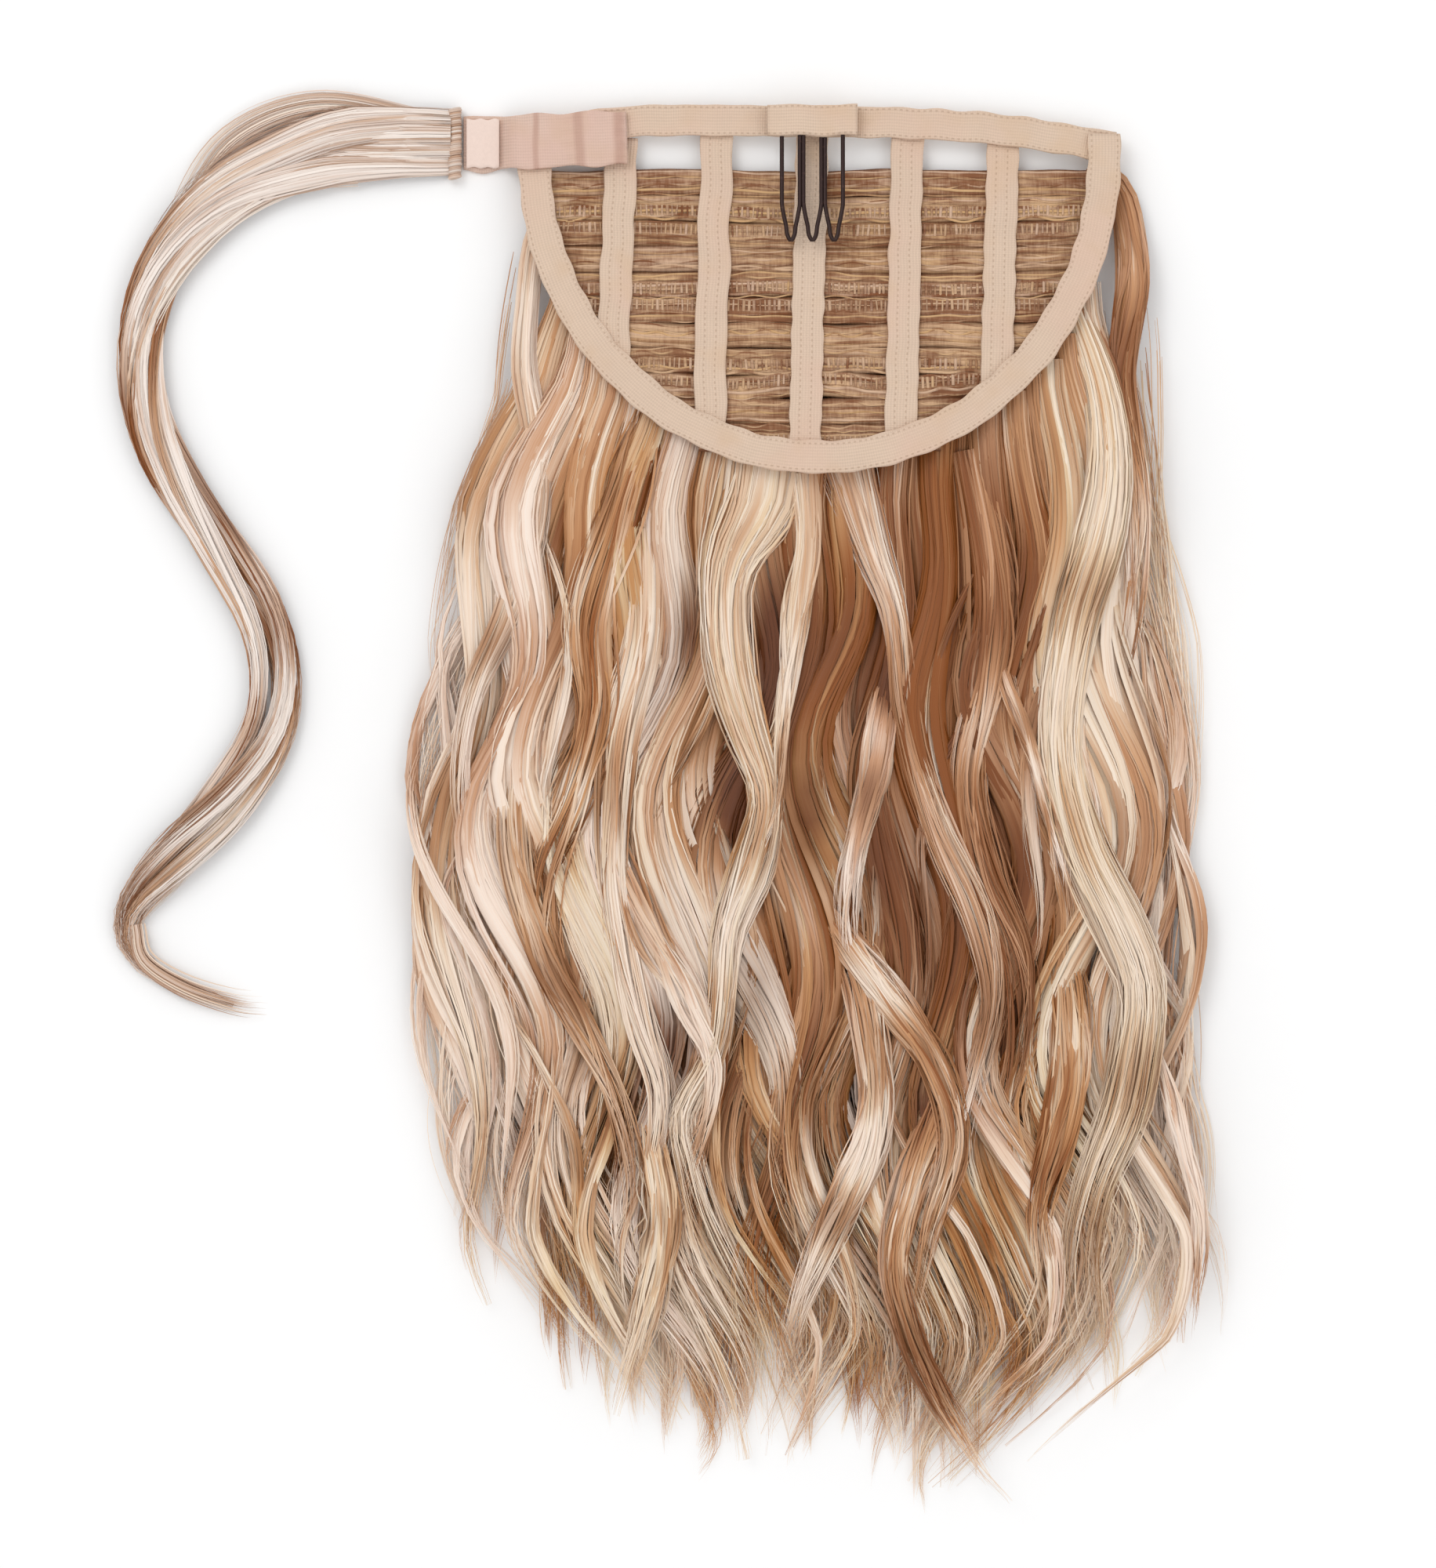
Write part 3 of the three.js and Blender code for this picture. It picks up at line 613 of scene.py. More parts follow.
def ribbons(sheets, line, turn, width, tint, rng, zones=True, point=0.0):
    """Flat strands along middle lines, each turned about itself and drawn out to a point."""
    n, stations, _ = line.shape
    line = below_cap(line, 0.9)
    along = np.linspace(0, 1, stations)
    twist = 0.14 * np.sin(2 * np.pi * (2 * along[None] + rng.uniform(0, 1, n)[:, None]))
    turn = turn[:, None] + rng.normal(0, 0.1, n)[:, None] + twist
    across = side_of(line) * np.cos(turn)[..., None]
    across[..., 2] = np.sin(turn)
    head = smooth(along, -0.02, point) if point else np.minimum(1, 0.6 + 6 * along)
    taper = head * (1 - 0.97 * along**3) ** 0.9
    half = 0.5 * width * rng.uniform(0.55, 1.4, n)[:, None] * taper[None]
    if zones:
        tint = zone_tint(tint, line[..., 0], line[..., 1])
    grids = np.stack([line + across * half[..., None], line - across * half[..., None]], 2)
    tint = np.repeat(np.clip(tint, 0, 1)[:, :, None, :], 2, 2)
    sheets.add(grids, tint, lanes_for(rng, run_of(line), np.array([0, width])))


def broad_ribbons(sheets, line, turn, half, tint, rng, zones=True):
    """Arched ribbons of many hairs lying side by side, each drawn out to a point."""
    line = below_cap(line, 1.1)
    along = unit(np.gradient(line, axis=1))
    across = side_of(line) * np.cos(turn)[..., None]
    across[..., 2] = np.sin(turn)
    up = np.cross(across, along)
    up = up * np.where(up[..., 2:] < 0, -1.0, 1.0)
    u = np.linspace(-1, 1, 5)
    wide = u * half[..., None]
    arch = 0.22 * half[..., None] * (1 - u**2)
    grids = line[:, :, None] + across[:, :, None] * wide[..., None]
    grids = grids + up[:, :, None] * arch[..., None]
    tint = np.repeat(tint[:, :, None, :], 5, 2)
    # Painted shade towards each ribbon's edges.
    tint[..., 2] += 0.08 * u**2
    if zones:
        tint = zone_tint(tint, grids[..., 0], grids[..., 1])
    sheets.add(grids, np.clip(tint, 0, 1), lanes_for(rng, run_of(line), wide), weight=4.0)


def light_tint(tint, shine):
    """Paints highlights where hair catches light along its waves, and painted shade between them."""
    tint[..., 0] += -0.46 * np.clip(shine, 0, 1.5) + 0.22 * np.clip(-shine, 0, 1.5)
    tint[..., 1] -= 0.2 * np.clip(shine, 0, 1.5)
    tint[..., 2] += 0.34 * np.clip(-shine - 0.2, 0, 1.4)
    return tint


def bundles_of(lock, rng, stations):
    """How each bundle of a lock's hair lies: its place round the lock's upper side, its
    depth and ends, how it strays along the lock and how it catches light there."""
    count = max(4, lock.strands // 9)
    along = np.linspace(0, 1, stations)
    order = (rng.permutation(count) + 0.5) / count - 0.5
    stray, heave, part, shine = (
        np.stack([ripple(along, rng, 3, low, high) for _ in range(count)])
        for low, high in ((0.6, 2.4), (0.8, 2.6), (0.5, 2.5), (1.0, 3.5))
    )
    return dict(
        turn=np.pi * 0.92 * order + rng.normal(0, 0.08, count),
        depth=np.sqrt(rng.uniform(0.74, 1.1, count)),
        starts=rng.uniform(0, 1.3, count) * lock.point,
        ends=np.clip(rng.normal(0.88, 0.08, count), 0.66, 1.01),
        stray=stray,
        heave=heave,
        part=part,
        shine=shine,
        pick=rng.normal(0, 1, (count, 2)),
        size=rng.uniform(0.65, 1.35, count),
    )


def tracks(lock, rng, bundles, of, own, stations):
    """Lines and tints of hair that runs with its bundle. own is 0 for a whole bundle and 1
    for a strand, which strays a little by itself."""
    n = len(of)
    along = np.linspace(0, 1, stations)
    starts = bundles["starts"][of]
    ends = bundles["ends"][of] + own * rng.normal(0.01, 0.04, n)
    ends = np.clip(ends, 0.6, 1.04)
    share = np.clip(starts[:, None] + along[None] * (ends - starts)[:, None], 0, 1)
    free = smooth(share, 0.02, 0.3)
    speed, place = rng.uniform(1, 4, n)[:, None], rng.uniform(0, 1, n)[:, None]
    frizz = own * np.sin(2 * np.pi * (speed * along + place))
    turn = bundles["turn"][of][:, None]
    depth = bundles["depth"][of][:, None]
    rise = np.cos(turn) * depth
    loose = 0.35 + np.abs(bundles["part"][of]) + 1.2 * smooth(share, 0.72, 1)
    across = 0.88 * np.sin(turn) * depth + own * rng.normal(0, 0.1, n)[:, None] * loose
    line = sample(lock.line, share)
    side = unit(sample(side_of(lock.line), share))
    offset = across * sample(lock.wide, share)
    offset = offset + (lock.stray * bundles["stray"][of] + 0.35 * frizz) * free
    line = line + side * offset[..., None]
    lift = own * rng.uniform(0.2, 0.5, n)[:, None]
    line[..., 2] += rise * sample(lock.tall, share) + lift
    line[..., 2] += (0.3 * bundles["heave"][of] + 0.05 * frizz) * free
    pick = bundles["pick"][of][:, None, :]
    self_pick = own * rng.normal(0, 1, (n, 2))[:, None, :]
    tint = np.empty((n, stations, 3))
    tint[..., 0] = sample(lock.brown, share) + 0.14 * pick[..., 0] + 0.09 * self_pick[..., 0]
    tint[..., 1] = sample(lock.warm, share) + 0.09 * pick[..., 1] + 0.05 * self_pick[..., 1]
    # Painted shade on hair that lies low round the lock.
    tint[..., 2] = sample(lock.deep, share) + 0.34 * np.clip(0.65 - rise, 0, 1)
    shine = 0.85 * sample(lock.light, share) * free + 0.36 * bundles["shine"][of]
    return line, np.broadcast_to(-0.7 * turn, share.shape), light_tint(tint, shine), share


def strands_of(sheets, lock, rng, width, stations, zones=True):
    """Covers a lock's upper side with broad ribbons of hair and the finer strands over them."""
    bundles = bundles_of(lock, rng, stations)
    count = len(bundles["turn"])
    along = np.linspace(0, 1, stations)
    line, turn, tint, share = tracks(lock, rng, bundles, np.arange(count), 0.0, stations)
    taper = np.minimum(1, 0.75 + 5 * along) * (1 - 0.985 * along**2.6) ** 0.85
    if lock.point:
        taper = smooth(along, -0.02, 0.4) * smooth(1 - along, -0.01, 0.45)
    half = 0.8 * np.pi * sample(lock.wide, share) / count * taper[None]
    half = half * bundles["size"][:, None] * (1 + 0.16 * bundles["part"])
    broad_ribbons(sheets, line, turn, np.clip(half, 0.02, 3.2), tint, rng, zones)
    of = np.arange(int(lock.strands * lock.fine)) % count
    line, turn, tint, _ = tracks(lock, rng, bundles, of, 1.0, stations)
    ribbons(sheets, line, turn[:, 0], width, tint, rng, zones, point=0.2 if lock.point else 0.0)


def skin_of(sheets, lock, rng, zones=True):
    """The lock's own rounded body, streaked like hair, under its separate strands."""
    keep = slice(0, int(len(lock.line) * 0.84), 2)
    line = lock.line[keep]
    share = np.linspace(0, 1, len(line))
    close = (1 - share**4) ** 0.7
    if lock.point:
        close = smooth(share, -0.02, 0.35) * smooth(1 - share, -0.02, 0.4)
    angles = np.linspace(0, 2 * np.pi, 12, endpoint=False)
    wide = 0.86 * lock.wide[keep] * np.maximum(close, 0.02)
    tall = 0.8 * lock.tall[keep] * np.maximum(close, 0.05)
    lift = np.where(np.sin(angles) > 0, np.sin(angles), 0.35 * np.sin(angles))
    across = (wide[:, None] * np.cos(angles))[..., None]
    grid = line[:, None, :] + side_of(line)[:, None, :] * across
    grid[..., 2] += tall[:, None] * lift
    run = np.concatenate([[0], np.cumsum(np.linalg.norm(np.diff(line, axis=0), axis=1))])
    tint = np.empty((*grid.shape[:2], 3))
    tint[..., 0] = np.broadcast_to(lock.brown, len(lock.line))[keep][:, None]
    tint[..., 1] = np.broadcast_to(lock.warm, len(lock.line))[keep][:, None]
    # Painted shade, strongest on the body's sides and underside.
    tint[..., 2] = lock.deep + 0.06 + 0.42 * (1 - lift[None]) ** 2
    light = np.broadcast_to(lock.light, len(lock.line))[keep]
    tint = light_tint(tint, 0.8 * light[:, None])
    if zones:
        tint = zone_tint(tint, grid[..., 0], grid[..., 1])
    lanes = np.zeros_like(grid)
    lanes[..., 0] = rng.uniform(0, 900) + np.cos(angles)[None] * lock.wide.max()
    lanes[..., 1] = run[:, None]
    grid = below_cap(grid, 1.3)
    sheets.add(grid[None], np.clip(tint, 0, 1)[None], lanes[None], closed=True, weight=8.0)


def rest_level(level, y):
    """Height of a lock whose full height is level: low under the cap's shallow top."""
    return np.minimum(level, 1.4 + 0.15 * np.maximum(0, -y))


def fall_lock(settings, rng, head, tip, reach, start, level, width, phase, turns, swing, **look):
    """A lock of the fall from places across it at head and tip, as shares from -1 to 1."""
    share = np.linspace(0, 1, 60)
    end = np.interp(tip, HEM[:, 0], HEM[:, 1]) * reach
    down = start + (end - start) * share
    across = head + (tip - head) * share
    angle = 2 * np.pi * (WAVES * turns * down + phase)
    x = fan_x(across, down) * (1 - 0.12 * abs(head) ** 3 * np.exp(-((share / 0.07) ** 2)))
    x = x + settings.swing * swing * smooth(share, 0, 0.3) * np.sin(angle)
    x = x + 2.0 * ripple(share, rng, 3, 0.5, 1.8) * share
    y = -down * HAIR_FALL
    taper = np.sqrt(np.clip(1 - share**4, 0.02, 1))
    wide = width / 2 * (0.7 + 0.3 * smooth(share, 0, 0.2)) * taper
    wide = wide * (1 + 0.2 * np.sin(2 * np.pi * (2.2 * share + phase)))
    tall = 2.4 * (1 - 0.35 * share) * np.clip(taper + 0.25, 0, 1)
    z = rest_level(level, y) * (1 - 0.4 * share - 0.3 * smooth(share, 0.8, 1))
    z = z + 0.6 * np.cos(angle + 3 * phase) * smooth(share, 0, 0.2)
    light = np.cos(angle + 3 * phase) + 0.5 * ripple(share, rng, 3, 1, 3)
    return Lock(np.stack([x, y, z], 1), wide, tall, light=light, **look)


def root_down(head, tuck):
    """How far down the fall a lock starts, its root tuck mm behind the rim's middle line."""
    across = min(0.999, abs(head) * 0.97)
    rim = RIM_DEEP * math.sqrt(1 - across**2)
    return max(1.0, rim - tuck) / HAIR_FALL


# The fall's layers: how many locks, the share of its width that they span, how far behind
# the rim their roots lie and how high they lie in mm, their width, strands and tint, with
# painted shade that is stronger in the lower layers, and for a strand its width, as a share
# of the set one, and its stations.
OUTER_LAYER = dict(
    count=24, span=0.88, tuck=18, level=2.2, width=15, strands=85,
    brown=0.42, warm=0.55, deep=0.2, strand=1.2, stations=28,
)
MIDDLE_LAYER = dict(
    count=21, span=0.9, tuck=9, level=7.0, width=15, strands=105,
    brown=0.44, warm=0.5, deep=0.22, strand=1.1, stations=31,
)
INNER_LAYER = dict(
    count=26, span=0.84, tuck=3, level=11.6, width=13, strands=98,
    brown=0.44, warm=0.48, deep=0.08, strand=1.0, stations=33,
)


def layer_locks(settings, rng, layer):
    """Locks across a layer, their waves drifting slowly from one side to the other."""
    locks = []
    for at in range(layer["count"]):
        head = layer["span"] * (-1 + 2 * (at + 0.5) / layer["count"]) + rng.normal(0, 0.015)
        slim = 1 - 0.4 * float(smooth(abs(head), 0.74, 0.95))
        locks.append(
            fall_lock(
                settings,
                rng,
                head,
                tip=float(np.clip(head + rng.normal(0, 0.06), -1, 1)),
                reach=rng.uniform(0.94, 1.01),
                start=root_down(head, layer["tuck"]),
                level=layer["level"] + (1.0, -1.0)[at % 2] + rng.normal(0, 0.2),
                width=layer["width"] * rng.uniform(0.8, 1.25) * slim,
                phase=WAVE_START + WAVE_DRIFT * head + rng.normal(0, 0.09),
                turns=rng.uniform(0.92, 1.1),
                swing=(1 - 0.45 * abs(head) ** 4) * rng.uniform(0.7, 1.15),
                brown=rng.normal(layer["brown"], 0.15),
                warm=rng.normal(layer["warm"], 0.18),
                deep=layer["deep"],
                strands=int(layer["strands"] * rng.uniform(0.85, 1.15)),
                stray=1.7,
            )
        )
    return locks


def layer_sheets(settings, rng, layer):
    """All the hair of a layer's locks."""
    sheets = Sheets()
    for lock in layer_locks(settings, rng, layer):
        skin_of(sheets, lock, rng)
        strands_of(sheets, lock, rng, settings.strand * layer["strand"], layer["stations"])
    return sheets


# Locks that lie on top. route holds the places that a lock passes: across and down the fall
# in mm from the rim's middle, and half its width there. rise is its height over the fall's
# top and tall half its own height, in mm.
CREST_LOCKS = [
    dict(
        brown=0.1, warm=0.6, strands=230, rise=1.6, tall=2.6,
        route=[(-14, -76, 13), (-16, -90, 13), (-21.5, -101, 9.5), (-24, -112, 7.2), (-23, -130, 7),
               (-18.5, -147, 6), (-13.5, -164, 4.5),
               (-17, -181, 6), (-23, -198, 4.5), (-24.5, -214, 3.6), (-27, -230, 3), (-35, -245, 3.5),
               (-33, -258, 4.5), (-29, -272, 5), (-21, -288, 4), (-15, -300, 2.5)],
    ),
    dict(
        brown=0.66, warm=0.45, strands=90, rise=-0.4, tall=1.6,
        route=[(70, -2, 3), (77, -9, 3.6), (79.5, -20, 4), (80.5, -32, 4.2), (79, -45, 4), (77.5, -58, 4),
               (79, -74, 4), (81, -92, 3.6), (80, -112, 3), (78, -134, 2)],
    ),
    dict(
        brown=0.2, warm=0.3, strands=60, rise=-0.2, tall=1.4,
        route=[(64, -30, 2.4), (70, -44, 3), (75, -60, 3), (79, -78, 2.8), (80, -98, 2.4), (79, -120, 1.6)],
    ),
    dict(
        brown=0.24, warm=0.3, strands=60, rise=-0.3, tall=1.4,
        route=[(-66, -8, 2.6), (-72, -22, 3), (-74, -38, 3), (-75, -55, 3), (-72, -75, 3), (-73, -95, 3.4),
               (-79, -118, 3.4), (-88, -140, 3.4), (-91, -164, 3), (-88, -188, 2)],
    ),
    dict(
        brown=0.22, warm=0.45, strands=80, rise=2.0, tall=1.6,
        route=[(-4, -82, 4), (-3, -100, 3.5), (-5, -116, 3), (-8, -134, 2.6), (-10, -150, 2.4),
               (-12, -168, 2), (-18, -186, 1.6), (-22, -205, 1)],
    ),
    dict(
        brown=0.2, warm=0.42, strands=110, rise=0.6, tall=1.8,
        route=[(-45, -96, 6), (-45, -123, 5.5), (-50, -145, 5.5), (-52, -162, 5), (-53, -183, 4),
               (-50, -202, 4), (-45, -222, 4), (-40, -240, 3), (-43, -262, 3), (-47, -285, 2)],
    ),
    dict(
        brown=0.36, warm=0.3, strands=130, rise=1.0, tall=2.0,
        route=[(6, -76, 7.5), (13, -100, 5), (19, -118, 3.6), (22, -144, 3.2), (30, -171, 4.5),
               (40, -194, 5), (44, -215, 4), (40, -236, 4), (36, -256, 3.4), (40, -276, 3)],
    ),
    dict(
        brown=0.12, warm=0.7, strands=230, rise=1.2, tall=2.6,
        route=[(64, -36, 3.5), (72, -60, 5), (74, -82, 6), (71, -100, 7), (65, -120, 6.5), (61.5, -149, 6),
               (67, -176, 6.5), (77, -198, 7), (82, -213, 6.6), (80, -232, 6.6), (77, -246, 6.4),
               (70, -264, 5), (67, -282, 5), (69, -300, 4.5), (72, -315, 2)],
    ),
    dict(
        brown=0.3, warm=0.12, strands=80, rise=1.4, tall=1.8,
        route=[(18, -124, 3), (16, -142, 4.5), (14, -158, 4), (9, -178, 3.4), (7, -194, 3), (9, -212, 2)],
    ),
    dict(
        brown=0.14, warm=0.6, strands=120, rise=0.8, tall=2.0,
        route=[(-46, -236, 3), (-43, -252, 4.5), (-40, -272, 4.6), (-43, -290, 4.5), (-48, -308, 3.4),
               (-52, -322, 1.4)],
    ),
    dict(
        brown=0.16, warm=0.4, strands=130, rise=1.8, tall=2.2,
        route=[(3, -196, 2.5), (10, -212, 4.5), (14, -232, 4.8), (13, -250, 4.6), (8, -264, 5),
               (0, -281, 4.4), (-6, -296, 3), (-9, -312, 1.6)],
    ),
    dict(
        brown=0.42, warm=0.5, strands=130, rise=1.2, tall=1.8,
        route=[(38, -222, 2.4), (32, -239, 4.5), (24, -260, 4.6), (19, -282, 3.4), (22, -299, 3.6),
               (30, -317, 4), (40, -333, 3.4), (49, -344, 1)],
    ),
    dict(
        brown=0.62, warm=0.66, strands=110, rise=0.9, tall=2.0,
        route=[(61, -196, 3), (64, -216, 5.6), (64, -232, 6), (61, -250, 5), (56, -270, 4), (58, -292, 3)],
    ),
    dict(
        brown=0.3, warm=0.3, strands=50, rise=0.8, tall=1.2,
        route=[(84, -222, 1.6), (89, -238, 2), (95, -262, 1.8), (97, -284, 1.5), (93, -306, 0.8)],
    ),
    dict(
        brown=0.3, warm=0.4, strands=60, rise=2.2, tall=1.2,
        route=[(44, -118, 1.6), (48, -136, 1.8), (54, -154, 1.8), (60, -176, 1.6), (64, -196, 1.2)],
    ),
    dict(
        brown=0.35, warm=0.5, strands=110, rise=1.4, tall=1.8,
        route=[(-73, -140, 2.5), (-78, -160, 4), (-77, -182, 4.5), (-70, -204, 4.5), (-60, -224, 4),
               (-52, -242, 3), (-48, -262, 3), (-50, -284, 2)],
    ),
    dict(
        brown=0.3, warm=0.35, strands=110, rise=1.6, tall=1.8,
        route=[(-55, -165, 2), (-50, -182, 4), (-42, -200, 4.4), (-33, -216, 4), (-27, -234, 3),
               (-32, -256, 3), (-38, -276, 2)],
    ),
    dict(
        brown=0.45, warm=0.45, strands=120, rise=1.3, tall=1.8,
        route=[(-6, -178, 2), (4, -196, 4), (17, -214, 4.4), (29, -232, 4), (34, -252, 3.6),
               (28, -276, 3), (24, -300, 2.4)],
    ),
    dict(
        brown=0.7, warm=0.35, strands=130, rise=0.4, tall=2.0,
        route=[(38, -76, 5), (44, -110, 6), (42, -136, 5.4), (38, -160, 5), (42, -184, 5.4),
               (50, -206, 5), (50, -230, 4), (44, -254, 3)],
    ),
    dict(
        brown=0.62, warm=0.6, strands=130, rise=0.5, tall=2.0,
        route=[(-44, -70, 5), (-52, -98, 6), (-58, -120, 6), (-56, -142, 5), (-62, -164, 5),
               (-70, -186, 5), (-68, -210, 4), (-60, -232, 3)],
    ),
]


def crown_level(level, y):
    """Height of a lock on the fall's top at y: about level mm near the rim, less below."""
    return rest_level(level * (1 - 0.42 * (-y / HAIR_FALL - 0.2)), y)


def crest_locks(rng):
    """The top locks, laid over the fall. A head that shows dips into the hair and takes its
    colour, and the others start under the rim."""
    count = 70
    locks = []
    share = np.linspace(0, 1, count)
    for row in CREST_LOCKS:
        x, y, wide = spline(row["route"], count).T
        level = crown_level(13.2, y) + row["rise"]
        shows = y[0] < -100
        head, reach = (4.5, 0.3) if shows else (0.5, 0.14)
        sink = head * (1 - smooth(share, 0, reach)) + 2.0 * smooth(share, 0.85, 1)
        ends = np.minimum(1, 0.5 + 4 * share) * np.sqrt(np.clip(1 - share**6, 0.03, 1))
        tall = row["tall"] * np.clip(wide / wide.max() + 0.25, 0.3, 1) * ends
        bend = np.cumsum(np.gradient(x)) / 9
        light = np.sin(2.2 * bend + y / 13) + 0.4 * ripple(share, rng, 3, 1, 4)
        hidden = (1 - smooth(share, 0.05, 0.4)) * shows
        around = zone_tint(np.full((len(share), 3), (0.42, row["warm"], 0.1)), x, y)[:, 0]
        line = np.stack([x, y, level - sink], 1)
        locks.append(
            Lock(
                line,
                wide,
                tall,
                brown=row["brown"] + (around - row["brown"]) * hidden,
                warm=row["warm"],
                light=light * (1 - 0.8 * hidden),
                strands=row["strands"],
                stray=0.8,
                point=0.1 if shows else 0.0,
            )
        )
    return locks


def crossing_locks(settings, rng, count):
    """Thin locks that cross the top of the fall at a slant."""
    share = np.linspace(0, 1, 50)
    locks = []
    for _ in range(count):
        across = rng.uniform(-0.92, 0.92)
        start = rng.uniform(0.24, 0.72)
        down = start + min(rng.uniform(0.22, 0.42), 0.97 - start) * share
        drift = rng.normal(0, 0.17)
        angle = 2 * np.pi * (WAVES * down + WAVE_START + WAVE_DRIFT * across + rng.normal(0, 0.12))
        x = fan_x(across + drift * (share - 0.5), down) + settings.swing * 0.8 * np.sin(angle)
        y = -down * HAIR_FALL
        z = crown_level(14.2, y) - 3.2 * (1 - smooth(share, 0, 0.25)) - 2 * smooth(share, 0.8, 1)
        bulge = np.sin(np.pi * (0.08 + 0.9 * share))
        wide = rng.uniform(0.8, 1.9) * np.sqrt(np.clip(bulge, 0.05, 1))
        light = np.cos(angle) + 0.5 * ripple(share, rng, 3, 1, 3)
        hidden = 1 - smooth(share, 0.05, 0.4)
        light = light * (1 - 0.8 * hidden)
        # The head is browner where it dips into the hair: painted shade.
        brown = rng.normal(0.3, 0.2) + 0.25 * hidden
        warm = rng.normal(0.4, 0.2)
        line = np.stack([x, y, z], 1)
        look = dict(strands=18, stray=0.5, fine=0.7, point=0.1)
        locks.append(Lock(line, wide, wide * 0.5, brown, warm, light=light, **look))
    return locks


def edge_locks(settings, rng, count):
    """Thin pale locks along the fall's sides, with the floor showing between them."""
    locks = []
    for at in range(count):
        side = (-1, 1)[at % 2]
        head = side * rng.uniform(0.84, 0.99)
        locks.append(
            fall_lock(
                settings,
                rng,
                head,
                tip=float(np.clip(head + side * rng.normal(0, 0.05), -1.03, 1.03)),
                reach=rng.uniform(0.86, 1.0),
                start=rng.uniform(0.17, 0.5),
                level=rng.uniform(2.0, 7.0),
                width=rng.uniform(2.4, 5.0),
                phase=WAVE_START + WAVE_DRIFT * head + rng.normal(0, 0.2),
                turns=rng.uniform(0.85, 1.15),
                swing=rng.uniform(0.45, 0.95),
                brown=rng.normal(0.34, 0.14),
                warm=rng.normal(0.3, 0.15),
                deep=0.0,
                strands=36,
                stray=1.2,
                fine=0.8,
                point=0.1,
            )
        )
    return locks


def loose_tint(rng, of, groups, stations, brown, warm):
    """Tints for single strands that share the colour of their group."""
    shift = rng.normal(0, 1, (groups, 3))[of] * (0.18, 0.14, 0.0) + (brown, warm, 0.0)
    shift += rng.normal(0, 1, (len(of), 3)) * (0.1, 0.08, 0.04)
    return np.repeat(shift[:, None, :], stations, 1)


def flyaways(sheets, rng, count, width):
    """Single strands that stray past the fall's sides."""
    stations, groups = 21, 60
    along = np.linspace(0, 1, stations)
    of = rng.integers(0, groups, count)
    side = rng.choice([-1.0, 1.0], groups)[of][:, None]
    start = rng.uniform(0.1, 0.68, groups)[of] + rng.normal(0, 0.02, count)
    length = rng.uniform(0.15, 0.4, groups)[of] * rng.uniform(0.8, 1.1, count)
    down = start[:, None] + np.minimum(length, 0.8 - start)[:, None] * along
    edge = (rng.uniform(0.84, 1.0, groups)[of] + rng.normal(0, 0.01, count))[:, None]
    bow = rng.uniform(0.5, 6.0, groups)[of][:, None] * np.sin(np.pi * along)[None]
    speed = rng.uniform(1.8, 3.0, groups)[of][:, None]
    wave = np.sin(2 * np.pi * (speed * down + rng.uniform(0, 1, groups)[of][:, None]))
    x = fan_x(side * edge, down) + side * bow + rng.uniform(1, 4, groups)[of][:, None] * wave
    z = rng.uniform(1.5, 7, count)[:, None] * (1 - 0.6 * along)
    line = np.stack([x, -down * HAIR_FALL, z], -1)
    tint = loose_tint(rng, of, groups, stations, 0.32, 0.42)
    ribbons(sheets, line, np.zeros(count), width, tint, rng)


def hem_wisps(sheets, rng, count, width):
    """Fine ends that hang past the locks' tips in small points, most of them pale and some
    groups brown or coppery."""
    stations, groups = 11, 90
    along = np.linspace(0, 1, stations)
    of = rng.integers(0, groups, count)
    across = np.linspace(-0.97, 0.97, groups)[of] + rng.normal(0, 0.02, groups)[of]
    hem = np.interp(across, HEM[:, 0], HEM[:, 1])
    end = (hem * rng.normal(0.985, 0.02, groups)[of] * HAIR_FALL)[:, None]
    long = (rng.uniform(34, 70, groups)[of] * rng.uniform(0.8, 1.2, count))[:, None]
    y = -(end - long * (1 - along) - rng.gamma(1.5, 7.0, count)[:, None])
    lean = rng.normal(-1, 5, groups)[of][:, None]
    spread = rng.normal(0, 2.6, count)[:, None] * (0.05 + (1 - along) ** 0.8)
    bend = rng.normal(0, 2.5, groups)[of][:, None] * np.sin(2 * np.pi * (0.75 * along + 0.1))
    x = fan_x(across, hem)[:, None] + lean * along**2 + bend + spread
    z = rng.uniform(1.0, 4.6, count)[:, None] * (1 - 0.6 * along)
    line = np.stack([x, y, z], -1)
    tint = loose_tint(rng, of, groups, stations, 0.38, 0.4)
    tint[..., 0] += 0.55 * (rng.uniform(0, 1, groups)[of] > 0.7)[:, None]
    tint[..., 1] += 0.3 * (rng.uniform(0, 1, groups)[of] > 0.6)[:, None]
    ribbons(sheets, line, np.zeros(count), width, tint, rng)


# The wrap strand's middle line in mm from the rim's middle, with half its width.
WRAP_ROUTE = [
    (-94.2, 3.1, 8.2), (-97, 3.1, 8.4), (-109, 3, 9), (-129, 1.6, 10.4), (-149, -7, 9),
    (-163, -21, 7), (-171, -36, 6.4), (-173.6, -52, 6.4), (-171, -69, 6.6),
    (-163.5, -85, 6.8), (-152.8, -101.5, 7), (-142.8, -118, 7), (-139.2, -133.5, 6.8),
    (-141.6, -149, 7), (-151.6, -165, 7.8), (-165, -180, 7.4), (-176, -193.4, 4.4),
    (-176.4, -202.5, 3), (-168.8, -210, 2.2), (-150, -217.6, 0.7),
]

